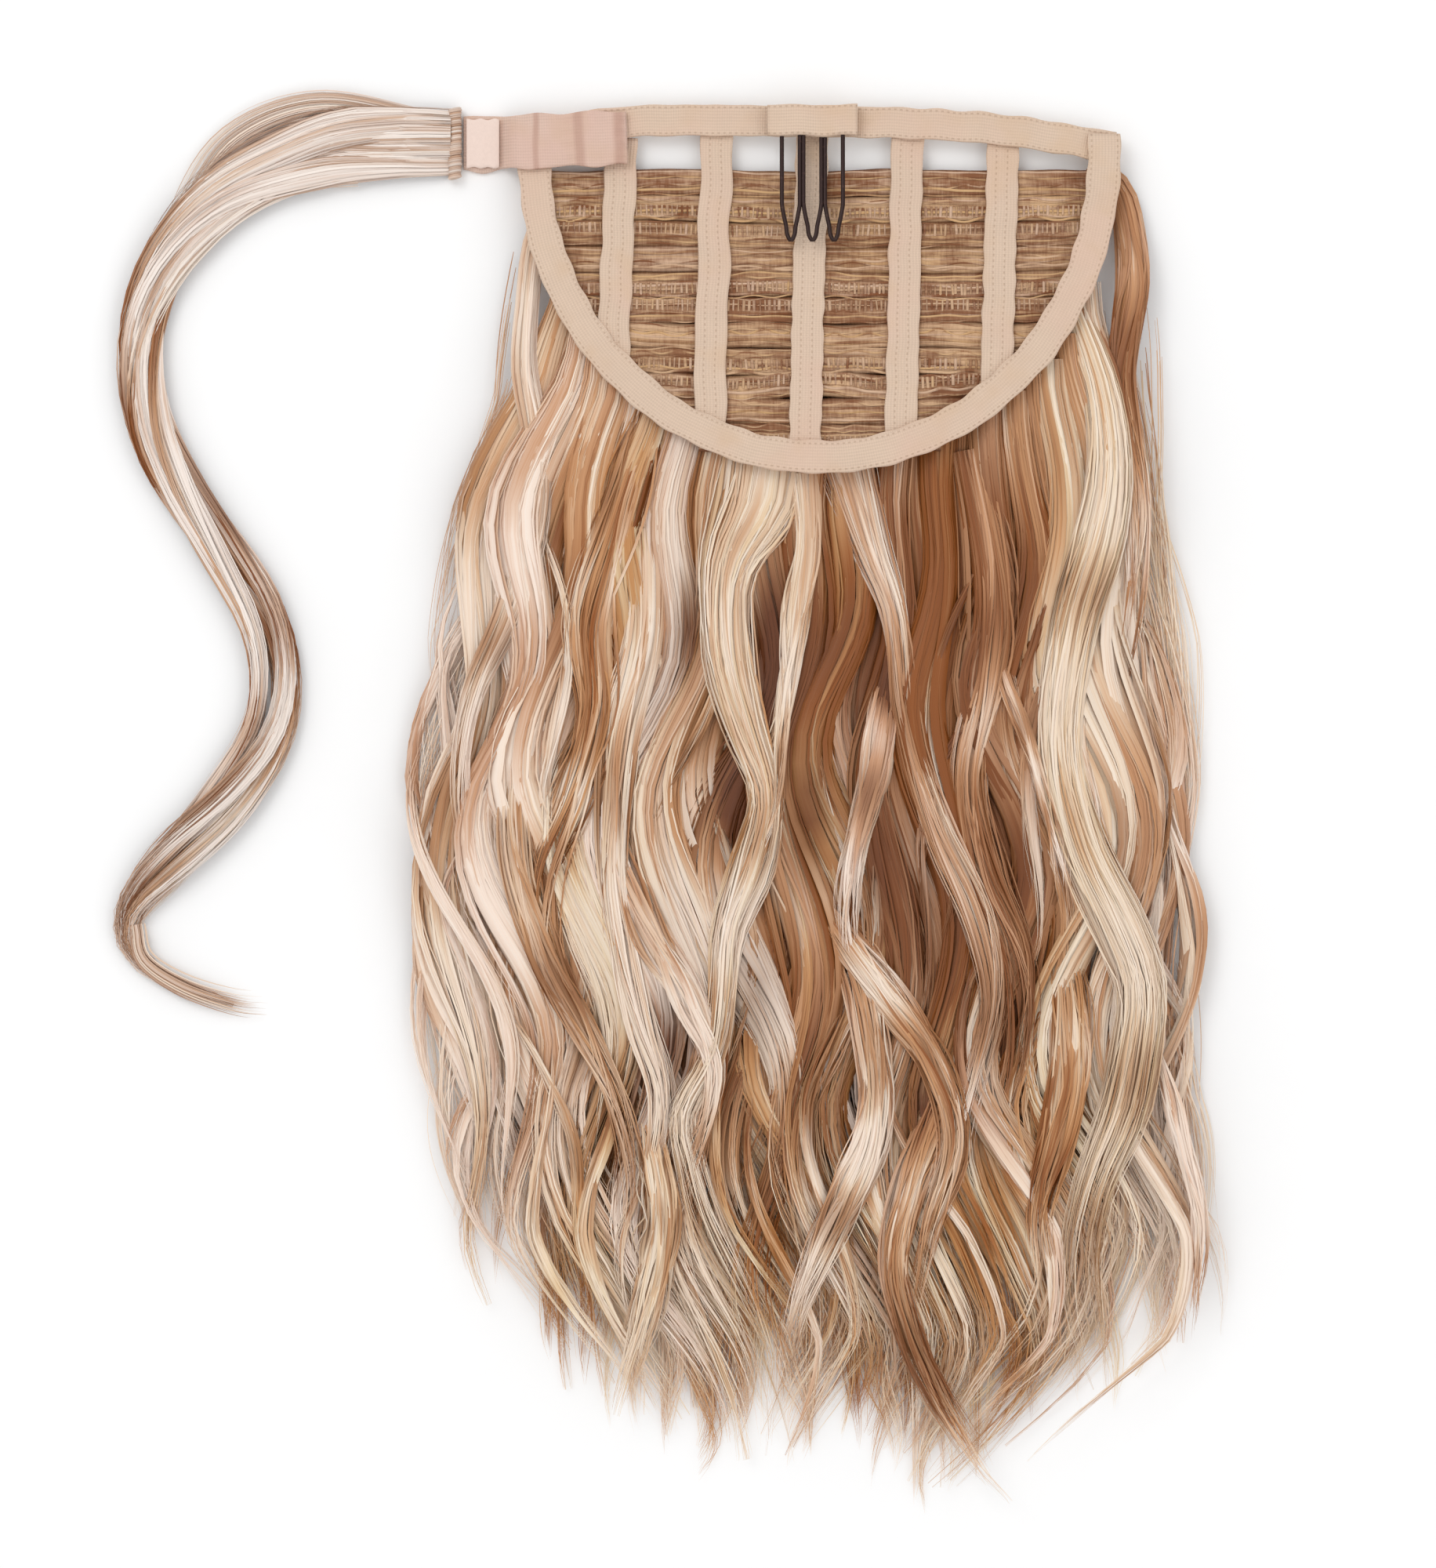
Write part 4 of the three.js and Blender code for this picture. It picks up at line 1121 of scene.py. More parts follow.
# The locks that twist into the wrap strand: brownness and warmth, where each starts across
# the strand, its place in the twist, and half its width as a share of the strand's.
WRAP_LOCKS = [
    dict(brown=0.75, warm=0.4, head=-0.75, turn=0.0, wide=0.3),
    dict(brown=0.3, warm=0.1, head=-0.5, turn=0.1, wide=0.26),
    dict(brown=0.02, warm=0.0, head=-0.3, turn=0.22, wide=0.26),
    dict(brown=0.6, warm=0.2, head=-0.1, turn=0.33, wide=0.26),
    dict(brown=0.2, warm=0.1, head=0.05, turn=0.45, wide=0.3),
    dict(brown=0.8, warm=0.5, head=0.25, turn=0.55, wide=0.24),
    dict(brown=0.0, warm=0.0, head=0.4, turn=0.66, wide=0.3),
    dict(brown=0.55, warm=0.3, head=0.6, turn=0.78, wide=0.26),
    dict(brown=0.25, warm=0.1, head=0.75, turn=0.9, wide=0.28),
]

# Patches of colour on the wrap strand: share along it, reach, the edge that they lie on (1 is
# the right one where it hangs) and what they add to the brownness. The patches that add
# brownness are darker hair; those that take it away are painted highlights.
WRAP_PATCHES = [
    dict(at=0.41, reach=0.045, edge=-1, brown=0.6),
    dict(at=0.47, reach=0.04, edge=1, brown=-0.35),
    dict(at=0.6, reach=0.035, edge=1, brown=0.7),
    dict(at=0.58, reach=0.05, edge=-1, brown=-0.35),
    dict(at=0.69, reach=0.03, edge=-1, brown=0.45),
    dict(at=0.755, reach=0.05, edge=1, brown=-0.4),
    dict(at=0.86, reach=0.05, edge=-1, brown=0.5),
]


def wrap_locks(rng):
    """The wrap strand's locks, pale at the seam and winding gently round each other."""
    count = 110
    path = spline(WRAP_ROUTE, count)
    share = np.linspace(0, 1, count)
    base = np.stack([path[:, 0], path[:, 1], np.zeros(count)], 1)
    side, size = side_of(base), path[:, 2] / 7
    pale = 1 - smooth(share, 0.17, 0.36)
    locks = []
    for look in WRAP_LOCKS:
        angle = 2 * np.pi * (1.5 * share + look["turn"]) + 0.5 * ripple(share, rng, 2, 0.5, 2)
        shift = look["head"] * (1 - smooth(share, 0, 0.24))
        shift = shift + 0.64 * np.cos(angle) * smooth(share, 0.04, 0.24)
        wide = path[:, 2] * (look["wide"] + 0.16 * pale)
        wide = np.minimum(wide, path[:, 2] * (1.02 - np.abs(shift)))
        tall = 1.3 * np.clip(size, 0.15, 1) * (0.5 + 0.5 * smooth(share, 0, 0.04))
        line = base + side * (shift * path[:, 2])[:, None]
        line[:, 2] = tall + 0.4 + np.clip(size, 0.1, 1) * (1.2 + 1.1 * np.sin(angle))
        brown = 0.2 + (0.9 * look["brown"] - 0.2) * (1 - 0.9 * pale)
        brown = brown + 0.1 * smooth(share, 0.72, 0.95)
        for patch in WRAP_PATCHES:
            near = np.exp(-(((share - patch["at"]) / patch["reach"]) ** 2))
            # Patches that take brownness away are painted highlights.
            brown = brown + patch["brown"] * near * smooth(patch["edge"] * shift, -0.2, 0.5)
        warm = look["warm"] * (1 - 0.9 * pale)
        light = (0.7 * np.sin(angle) + 0.7 * ripple(share, rng, 4, 2, 6)) * (1 - 0.6 * pale)
        look = dict(deep=0.02, strands=104, stray=0.4, fine=0.6)
        locks.append(Lock(line, wide, tall, brown, warm, light=light, **look))
    return locks


# Loose strands of the wrap strand: places along them in mm, their share of the number, their
# brownness and how far they spread. Two groups part from its first bend, one is its tip.
WRAP_WISPS = [
    ([(-99, 8), (-128, 12.5), (-150, 4), (-161, -13), (-163, -29)], 0.3, 0.1, 1.4),
    ([(-118, -5), (-143, -5.5), (-155, -12), (-161.5, -22)], 0.45, 0.0, 1.2),
    ([(-175, -197), (-173, -206), (-163, -213), (-150, -217.5), (-141, -218.5)], 0.25, 0.5, 0.7),
]


def wrap_wisps(sheets, rng, count, width):
    """Pale strands that part from the wrap strand near its seam, and its fine tip."""
    stations = 24
    along = np.linspace(0, 1, stations)
    for places, share, brown, spread in WRAP_WISPS:
        n = int(count * share)
        reach = rng.uniform(0.55, 1.0, n)[:, None] * along
        at = sample(spline(places, stations), reach)
        fan = rng.normal(0, spread, n)[:, None] * (1.0 + 0.7 * along)
        at = np.concatenate([at, np.full((n, stations, 1), 1.2)], 2)
        at = at + side_of(at) * fan[..., None]
        at[..., 2] += rng.uniform(0, 2.6, n)[:, None] * (1 - 0.6 * along)
        of = rng.integers(0, 8, n)
        tint = loose_tint(rng, of, 8, stations, brown, 0.12)
        ribbons(sheets, at, np.zeros(n), width, tint, rng, zones=False)


# Cap


# A tape's section, as shares of its half width and its thickness: a flat back, rounded
# edges and a face with room for ribs.
TAPE_EDGE = [(1.0, 0.3), (1.0, 0.62), (0.965, 0.88), (0.88, 1.0)]
TAPE_SECTION = np.array(
    [(-0.96, 0.0), (0.96, 0.0)]
    + TAPE_EDGE
    + [(across, 1.0) for across in np.linspace(0.78, -0.78, 15)]
    + [(-across, rise) for across, rise in reversed(TAPE_EDGE)]
)


def tape_grid(path, half, level, thick, seed, wobble=0.16):
    """Rings round a woven tape along a path in the plane, with faint ribs and small puckers,
    and its length. level gives the height of its back."""
    rng = np.random.default_rng(seed)
    length = np.linalg.norm(np.diff(path[:, :2], axis=0), axis=1).sum()
    count = max(24, int(length / 1.1))
    line = spline(path, count)
    share = np.linspace(0, 1, count)
    flat = np.stack([line[:, 0], line[:, 1], np.zeros(count)], 1)
    side = side_of(flat)
    flat = flat + side * (wobble * ripple(share, rng, 5, 1, length / 9))[:, None]
    spread = half * (1 + 0.035 * ripple(share, rng, 5, 2, length / 7))
    across, rise = TAPE_SECTION.T
    grid = flat[:, None, :] + side[:, None, :] * (across[None] * spread[:, None])[..., None]
    pucker = 0.09 * ripple(share, rng, 6, 2, length / 5)[:, None] * np.abs(across)[None]
    rib = 0.035 * np.cos(across * np.pi * 7)[None] * (rise > 0.9)[None]
    wave = 0.05 * np.sin(2 * np.pi * share * length / 2.4)[:, None] * (np.abs(across) > 0.9)[None]
    grid[..., 2] = level(grid[..., 0], grid[..., 1]) + rise[None] * thick + pucker + rib + wave
    return grid, length


def straight_tape(node, seed, wobble=0.16):
    """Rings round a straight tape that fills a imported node's box, and its length."""
    low, high = box_mm(node)
    middle = (low[1] + high[1]) / 2
    path = np.array([(low[0], middle), (high[0], middle)])
    half, thick = (high[1] - low[1]) / 2, high[2] - low[2]
    return tape_grid(path, half, lambda x, y: low[2] + 0 * x, thick, seed, wobble)


def woven_piece(name, grid, length, material):
    """One closed strip from rings of points, with a map in mm called Weave."""
    rows, cols, _ = grid.shape
    ids = np.arange(rows * cols).reshape(rows, cols)
    ring = np.concatenate([ids, ids[:, :1]], 1)
    quads = np.stack([ring[:-1, :-1], ring[:-1, 1:], ring[1:, 1:], ring[1:, :-1]], -1)
    ends = [ids[0][::-1].tolist(), ids[-1].tolist()]
    mesh = new_mesh(name, grid, quads.reshape(-1, 4).tolist() + ends)
    centre = grid.mean(axis=1, keepdims=True)
    u = np.einsum("rck,rk->rc", grid - centre, side_of(centre[:, 0])).ravel()
    v = np.repeat(np.linspace(0, length, rows)[:, None], cols, 1).ravel()
    loops = np.empty(len(mesh.loops), int)
    mesh.loops.foreach_get("vertex_index", loops)
    layer = mesh.uv_layers.new(name="Weave")
    layer.data.foreach_set("uv", np.stack([u[loops], v[loops]], 1).ravel())
    return new_piece(name, mesh, material)


def tape_finish(name, colour, stitch_lines=(), creases=()):
    """Matte woven tape: fine ribs along it, threads across it, a little mottling and painted
    shade in its creases. stitch_lines lie across the tape and creases along it, in mm."""
    finish = Finish(name, roughness=0.88, specular=0.25)
    u, v, _ = finish.parts(finish.own_map("Weave"))
    place = finish.place()
    mottle = finish.noise(place, 160.0, 4.0)
    soft = finish.noise(place, 38.0, 2.0)
    cloth = u.wave(0.8) * 0.5 + v.wave(0.62) * 0.35 + (mottle - 0.5) * 1.2
    base = finish.blend(0.5 + cloth * 0.3, paint(colour, 0.8), paint(colour, 1.1))
    base = finish.blend(soft.between(0.45, 0.7) * 0.5, base, paint(colour, (1.0, 0.9, 0.92)))
    cloud = finish.noise(place, 75.0, 2.0)
    base = finish.blend(cloud.between(0.5, 0.72) * 0.6, base, paint(colour, (0.93, 0.88, 0.8)))
    for at, reach in creases:
        near = abs(v - at + (soft - 0.5) * 3.0)
        # Painted shade in the crease.
        crease_shade = (1 - near.between(0.2 * reach, reach)) * (0.35 + mottle * 0.5)
        base = finish.blend(crease_shade, base, paint(colour, (0.68, 0.55, 0.52)))
    for at in stitch_lines:
        stitch = (1 - abs(u - at).between(0.1, 0.3)) * v.wave(1.5).between(-0.2, 0.5) * 0.42
        base = finish.blend(stitch, base, paint(colour, (0.5, 0.42, 0.36)))
    return finish.feed(base_color=base, normal=finish.bump(cloth, 0.5, 0.0002))


def arc(start, stop, count):
    """Places along the rim's middle line between two angles."""
    angles = np.linspace(start, stop, count)
    return np.stack([RIM_HALF * np.cos(angles), RIM_DEEP * np.sin(angles)], 1)


BAND_PATH = np.array(
    [
        (-RIM_HALF - 2.1, TAB_RISE),
        (-0.66 * RIM_HALF, BAND_RISE),
        (0, BAND_RISE),
        (0.6 * RIM_HALF, 0.78 * BAND_RISE),
        (RIM_HALF + 2.8, 0.22 * BAND_RISE),
    ]
)


def rim_path():
    """The rim's middle line from under the tab, round the cap and up over the band's end."""
    head = TAB_RISE - BAND_HALF - 2 * PLY_GAP
    first = math.pi - math.asin(head / RIM_DEEP)
    return np.vstack([arc(first, 2 * math.pi, 60), [(RIM_HALF, 0.6 * BAND_RISE)]])


def band_level(x, y):
    """Height of the band's underside."""
    return cap_height(x, y) + BAND_LEVEL


def rim_level(x, y):
    """Height of the rim tape's underside, which laps over the band at its free end."""
    over = np.where(x > 0, (BAND_THICK + PLY_GAP) * smooth(y, -16.8, -5), 0)
    return band_level(x, y) + over


def tab_level(x, y):
    """Height of the tab's underside: on the floor at its free end and on the band beyond."""
    low, _ = box_mm("closure_tab")
    on_band = band_level(x, y) + BAND_THICK + PLY_GAP
    return on_band * smooth(x, low[0] + TAB_FLAT - 0.4, TAB_CLIMB + 0.4)


def strap_path(place):
    """A strap's middle line from under the band to under the rim, place pitches from the
    middle strap."""
    head = -1.6 + place * STRAP_PITCH
    foot = head - 2.2
    top = BAND_RISE - 2 - 0.25 * BAND_RISE * (place / 2) ** 2
    bottom = -RIM_DEEP * math.sqrt(1 - (foot / RIM_HALF) ** 2) + 0.84
    return np.array([(head, top), ((head + foot) / 2, (top + bottom) / 2), (foot, bottom)])


def comb_loop(centre, low):
    """The middle line of one loop of the comb's wire, from the band down and back up."""
    half = COMB_PITCH / 2 - 0.42 * 2 * COMB_WIRE
    top, tip, level = BAND_RISE - 0.4, low[1] + COMB_WIRE, low[2] + COMB_WIRE
    legs = []
    for sign in (-1, 1):
        leg = []
        for share in (0, 0.2, 0.4, 0.6, 0.7, 0.8, 0.88, 0.95):
            near = half + (COMB_NOSE - half) * smooth(share * COMB_LONG, 20, 29.1)
            height = level + COMB_BEND * share**2
            leg.append((centre + sign * near, top - share * (top - tip), height))
        legs.append(leg)
    nose = (centre, tip, level + COMB_BEND)
    return spline([*legs[0], nose, *reversed(legs[1])], 90)


def weft_finish(name, colours):
    """Sewn hair of a weft: fine upright lines, with streaks that follow its threads, and
    painted shade at its edges and in its dips, as its tint sets.
    """
    finish = Finish(name, specular=0.3)
    brown, warm, deep = finish.parts(finish.attribute("strand_tint"))
    place = finish.place()
    lines = finish.noise(finish.scaled(place, (1.0, 0.15, 0.3)), 1700.0, 2.0, 0.6)
    streaks = finish.noise(finish.scaled(place, (0.1, 1.0, 0.3)), 1100.0, 2.0, 0.6)
    patch = finish.noise(place, 110.0, 3.0)
    pale = finish.blend(warm, paint(colours.weft_pale), paint(colours.weft_gold))
    dark = finish.blend(warm, paint(colours.brown), paint(colours.weft_dark))
    mix = brown + (lines - 0.5) * 0.6 + (streaks - 0.5) * 0.8 + (patch - 0.5) * 0.9
    base = finish.blend(mix.between(0.0, 1.0), pale, dark)
    # Painted shade, toward the colour called root.
    base = finish.blend(deep + (streaks - 0.5) * 0.3, base, paint(colours.root, 0.7))
    bump = finish.bump(lines + streaks, 0.5, 0.0003)
    return finish.feed(base_color=base, roughness=0.45 + patch * 0.3, normal=bump)


# A weft row from its upper edge down: share of the pitch, height over its face in mm, and
# painted shade, strongest at its tucked edges and in its dips.
WEFT_SECTION = [
    (0.0, -1.2, 0.8), (-0.02, -0.5, 0.75), (0.04, -0.15, 0.5), (0.12, 0.08, 0.15),
    (0.2, 0.1, 0.0), (0.28, 0.0, 0.12), (0.33, -0.1, 0.35), (0.4, 0.0, 0.05),
    (0.52, 0.06, 0.0), (0.64, 0.02, 0.0), (0.72, -0.08, 0.3), (0.8, 0.0, 0.0),
    (0.9, -0.1, 0.1), (1.0, -0.3, 0.45), (1.06, -1.2, 0.8),
]


@dataclass
class WeftRow:
    """A row of weft: where its upper edge lies and half its width, in mm, the shares along
    it where it is drawn, and how far it rises there."""

    upper: float
    half: float
    share: np.ndarray
    sag: np.ndarray


def weft_row(rng, at):
    """The row at a number of pitches under the first."""
    upper = -WEFT_TOP - at * WEFT_PITCH
    inset = 1.2
    bow = math.sqrt(max(0.0144, 1 - (upper / (RIM_DEEP - inset)) ** 2))
    half = (RIM_HALF - inset) * bow
    share = np.linspace(0, 1, max(24, int(half * 2.4)))
    return WeftRow(upper, half, share, 0.35 * ripple(share, rng, 4, 0.5, 3))


def weft_face(x, y):
    """Height of a row's face, close under the straps."""
    return cap_height(x, y) - PLY_GAP - 0.22


def weft_body(sheets, rng, row):
    """The row's own sheet of hair, with its sewn track raised."""
    count = len(row.share)
    x = np.linspace(-row.half, row.half, count)
    tone = np.clip(rng.normal(0.6, 0.17), 0.3, 0.9) + 0.18 * ripple(row.share, rng, 4, 1, 5)
    warm = np.clip(rng.normal(0.5, 0.25), 0, 1) + 0.2 * ripple(row.share, rng, 3, 1, 4)
    grid = np.empty((len(WEFT_SECTION), count, 3))
    tint = np.empty_like(grid)
    for k, (down, rise, deep) in enumerate(WEFT_SECTION):
        y = row.upper - down * WEFT_PITCH + row.sag + 0.1 * ripple(row.share, rng, 3, 4, 12)
        lump = 0.06 * ripple(row.share, rng, 5, 8, 40)
        grid[k] = np.stack([x, y, weft_face(x, y) - 0.03 + rise + lump], 1)
        # The third part of the tint is the section's painted shade.
        tint[k] = np.stack([tone, warm, np.full(count, deep)], 1)
    sheets.add(grid[None], np.clip(tint, 0, 1)[None], weight=8.0)


def weft_threads(sheets, rng, row):
    """Hair that runs along the row in wavy threads, golden, brown or pale."""
    n, count = 7, len(row.share)
    x = np.broadcast_to(np.linspace(-row.half, row.half, count), (n, count))
    level = (np.linspace(0.12, 0.94, n) + rng.normal(0, 0.04, n)) * WEFT_PITCH
    wave = np.stack([0.28 * ripple(row.share, rng, 4, 3, 14) for _ in range(n)])
    y = row.upper - level[:, None] + row.sag + wave
    z = weft_face(x, y) + 0.04 + 0.04 * rng.uniform(0, 1, n)[:, None]
    half = 0.5 * rng.uniform(0.3, 0.75, n)[:, None] * (1 + 0.4 * wave)
    tint = np.empty((n, count, 3, 3))
    tint[..., 0] = (rng.uniform(0.1, 0.8, n)[:, None] + 0.8 * wave)[..., None]
    tint[..., 1] = rng.uniform(0, 1, n)[:, None, None]
    # Painted shade on each thread's sides, none on its crown.
    tint[..., 2] = (0.35, 0.0, 0.2)
    grids = arched(np.stack([x, y, z], -1), half, 0.14, axis=1)
    sheets.add(grids, np.clip(tint, 0, 1), weight=2.0)


def weft_ribs(sheets, rng, row):
    """Loops of hair over the row's threads: short upright ribs with gaps between."""
    x = np.arange(-row.half + 0.8, row.half - 0.8, 1.3)
    n, stations = len(x), 6
    x = x + rng.normal(0, 0.12, n)
    along = np.linspace(0, 1, stations)
    line = np.zeros((n, stations, 3))
    line[..., 0] = x[:, None] + rng.normal(0, 0.15, n)[:, None] * along
    start = rng.choice([0.1, 0.42])
    long = rng.uniform(0.38, 0.46, n)[:, None] * WEFT_PITCH
    line[..., 1] = row.upper - start * WEFT_PITCH - along[None] * long
    line[..., 1] += np.interp(x, -row.half + 2 * row.half * row.share, row.sag)[:, None]
    line[..., 2] = weft_face(line[..., 0], line[..., 1]) + 0.1 + 0.14 * np.sin(np.pi * along)
    half = 0.5 * rng.uniform(0.35, 0.85, n)[:, None]
    tint = np.empty((n, stations, 3, 3))
    tint[..., 0] = np.clip(rng.normal(0.35, 0.2, n), 0, 1)[:, None, None]
    tint[..., 1] = np.clip(rng.normal(0.3, 0.2, n), 0, 1)[:, None, None]
    # Painted shade on each rib's sides.
    tint[..., 2] = (0.45, 0.05, 0.45)
    sheets.add(arched(line, -half, 0.12, axis=0), tint)


def bound_end(rng):
    """The roll over the strand's cut end: threads wound side by side."""
    low, high = box_mm("wrap_seam")
    centre = (low + high) / 2
    turns, stations, sides = 34, 18, 6
    angle = np.linspace(0, 2 * np.pi, stations)
    sheets = Sheets()
    for turn in range(turns):
        y = high[1] - 0.5 - (high[1] - low[1] - 1.0) * (turn + 0.5) / turns
        y = y + rng.normal(0, 0.08)
        size = 1 + rng.normal(0, 0.04)
        thick = rng.uniform(0.3, 0.42)
        x = centre[0] + 1.45 * size * np.cos(angle)
        z = np.maximum(2.0 + 1.7 * size * np.sin(angle), HAIR_REST)
        line = np.stack([x, y + 0.3 * np.cos(angle), z], 1)
        side = np.broadcast_to([0, 1.0, 0], line.shape)
        out = unit(np.cross(unit(np.gradient(line, axis=0)), side))
        tint = np.clip([rng.normal(0.32, 0.14), 0.1, rng.uniform(0.05, 0.25)], 0, 1)
        lanes = np.full((1, stations, sides, 3), 3.0 * turn)
        sheets.add(tube(line, side, out, thick, sides), tint, lanes, closed=True)
    return sheets


# Settings


def colour_of(name, description, default):
    """A colour that a user can change."""
    return FloatVectorProperty(
        name=name, description=description, default=default, subtype="COLOR"
    )


class HairSettings(bpy.types.PropertyGroup):
    """Sizes and colours of the hair."""

    strand: FloatProperty(
        name="Strand width", description="Width of one drawn strand, in mm", default=0.55, min=0.1
    )
    swing: FloatProperty(
        name="Wave", description="How far a lock swings to each side, in mm", default=8.0
    )
    seed: IntProperty(name="Seed", description="Number that the locks' spread starts from", default=7)
    ash: colour_of("Ash", "Cool pale hair", (0.88, 0.695, 0.57))
    gold: colour_of("Gold", "Warm pale hair", (0.82, 0.645, 0.41))
    tan: colour_of("Tan", "Cool middle hair", (0.56, 0.295, 0.168))
    amber: colour_of("Amber", "Warm middle hair", (0.58, 0.285, 0.108))
    brown: colour_of("Brown", "Cool brown hair", (0.2, 0.062, 0.016))
    copper: colour_of("Copper", "Warm brown hair", (0.32, 0.092, 0.012))
    wrap_ash: colour_of("Wrap ash", "Pale hair of the wrap strand", (0.89, 0.785, 0.715))
    wrap_tan: colour_of("Wrap tan", "Middle hair of the wrap strand", (0.6, 0.4, 0.285))
    weft_pale: colour_of("Pale weft", "Pinkish hair in the wefts", (0.66, 0.445, 0.31))
    weft_gold: colour_of("Golden weft", "Golden hair in the wefts", (0.64, 0.39, 0.18))
    weft_dark: colour_of("Dark weft", "Dark hair in the wefts", (0.26, 0.11, 0.05))
    glint: colour_of("Glint", "Hair that catches light", (0.93, 0.84, 0.76))
    # The colour called root is painted shade for hair that lies deep in the fall.
    root: colour_of("Deep", "Hair deep in the fall", (0.12, 0.033, 0.008))


class CapSettings(bpy.types.PropertyGroup):
    """Colours of the cap, comb and tab."""

    tape: colour_of("Tape", "Woven tape", (0.71, 0.54, 0.415))
    tab: colour_of("Tab", "Cloth of the closure tab", (0.70, 0.51, 0.42))
    hook: colour_of("Hook strip", "Hook tape", (0.86, 0.69, 0.61))
    comb: colour_of("Comb", "Coated comb wire", (0.028, 0.012, 0.01))
    comb_worn: colour_of("Worn comb", "Comb wire where its coat is worn", (0.12, 0.06, 0.045))


class StageSettings(bpy.types.PropertyGroup):
    """The floor, the lamps and the camera."""

    floor: colour_of("Floor", "Pale floor", (0.96, 0.96, 0.96))
    height: FloatProperty(
        name="Camera height", description="Camera above the floor", default=1.6, unit="LENGTH"
    )
    glow: FloatProperty(name="Sky", description="Brightness of the soft sky", default=0.86)
    lamp: FloatProperty(name="Lamp", description="Power of the large lamp, in watts", default=7.0)


# Operators


class HAIRPIECE_OT_stage(bpy.types.Operator):
    """Lay the floor, light it softly and hang the camera straight above"""

    bl_idname = "hairpiece.stage"
    bl_label = "Stage"

    def execute(self, context):
        stage = context.scene.hairpiece_stage
        middle = (SHIFT + np.array(VIEW_MIDDLE)) * 0.001
        self.floor(stage)
        world = bpy.data.worlds.new("soft_sky")
        world.use_nodes = True
        world.node_tree.nodes["Background"].inputs["Color"].default_value = (1, 1, 1, 1)
        world.node_tree.nodes["Background"].inputs["Strength"].default_value = stage.glow
        context.scene.world = world
        for name, (place, size, share) in LAMPS.items():
            data = bpy.data.lights.new(name, "AREA")
            data.energy = stage.lamp * share
            data.size = size
            lamp = bpy.data.objects.new(name, data)
            lamp.location = place
            aim = Vector((middle[0], middle[1], 0)) - lamp.location
            lamp.rotation_euler = aim.to_track_quat("-Z", "Y").to_euler()
            context.scene.collection.objects.link(lamp)
        lens = bpy.data.cameras.new("camera")
        lens.sensor_width = SENSOR
        lens.lens = SENSOR * (stage.height - VIEW_LEVEL) / VIEW_TALL
        lens.clip_end = 20.0
        camera = bpy.data.objects.new("camera", lens)
        camera.location = (middle[0], middle[1], stage.height)
        context.scene.collection.objects.link(camera)
        context.scene.camera = camera
        context.scene.view_settings.view_transform = "Standard"
        return {"FINISHED"}

    def floor(self, stage):
        """A wide pale floor, a hair under the piece."""
        finish = Finish("pale_floor", roughness=0.9, specular=0.1)
        speck = finish.noise(finish.place(), 90.0, 3.0)
        base = finish.blend(speck, paint(stage.floor, 0.985), paint(stage.floor))
        mesh = bpy.data.meshes.new("floor")
        reach = 3.0
        corners = [(-reach, -reach, 0), (reach, -reach, 0), (reach, reach, 0), (-reach, reach, 0)]
        mesh.from_pydata(corners, [], [(0, 1, 2, 3)])
        mesh.materials.append(finish.feed(base_color=base))
        floor = bpy.data.objects.new("floor", mesh)
        floor.location.z = -0.0002
        bpy.context.scene.collection.objects.link(floor)


class HAIRPIECE_OT_tapes(bpy.types.Operator):
    """Dress the band, the rim tape and the straps in woven tape with its sewing"""

    bl_idname = "hairpiece.tapes"
    bl_label = "Cap tapes"

    def execute(self, context):
        cap = context.scene.hairpiece_cap
        edge = tape_finish("edge_tape", cap.tape, stitch_lines=(-3.3, 3.3))
        middle = tape_finish("strap_tape", cap.tape, stitch_lines=(-1.6, 1.2))
        tapes = [
            ("band_weave", "top_band", BAND_PATH, BAND_HALF, band_level, BAND_THICK, edge),
            ("rim_weave", "rim_tape", rim_path(), TAPE_HALF, rim_level, TAPE_THICK, edge),
        ]
        for at in range(1, 6):
            names = (f"strap_weave_{at}", f"strap_{at}")
            tapes.append((*names, strap_path(at - 3), STRAP_HALF, cap_height, STRAP_THICK, middle))
        for seed, (name, node, path, half, level, thick, material) in enumerate(tapes):
            grid, length = tape_grid(path, half, level, thick, seed)
            settle(woven_piece(name, grid, length, material), "cap_tape", node)
        return {"FINISHED"}


class HAIRPIECE_OT_comb(bpy.types.Operator):
    """Bend the coated comb wire and sew its sleeve"""

    bl_idname = "hairpiece.comb"
    bl_label = "Comb and sleeve"

    def execute(self, context):
        cap = context.scene.hairpiece_cap
        finish = Finish("comb_wire", metallic=0.55, specular=0.5)
        wear = finish.noise(finish.place(), 900.0, 3.0)
        coat = finish.blend(wear.between(0.55, 0.8) * 0.5, paint(cap.comb), paint(cap.comb_worn))
        coated = finish.feed(base_color=coat, roughness=0.26 + wear * 0.3)
        low, high = box_mm("comb")
        sheets = Sheets()
        for loop in range(COMB_LOOPS):
            centre = (low[0] + high[0]) / 2 + (loop - (COMB_LOOPS - 1) / 2) * COMB_PITCH
            line = comb_loop(centre, low)
            along = unit(np.gradient(line, axis=0))
            side = unit(np.cross(along, [0, 0, 1.0]))
            wire = tube(line, side, np.cross(side, along), COMB_WIRE, 12)
            sheets.add(wire, np.zeros(3), closed=True)
        settle(sheets.build("comb_wires", coated), "comb_wire", "comb")
        sewn = tape_finish("sleeve_tape", cap.tape, stitch_lines=(-3.4, 3.4))
        grid, length = straight_tape("comb_sleeve", 31)
        settle(woven_piece("sleeve_weave", grid, length, sewn), "cap_tape", "comb_sleeve")
        return {"FINISHED"}


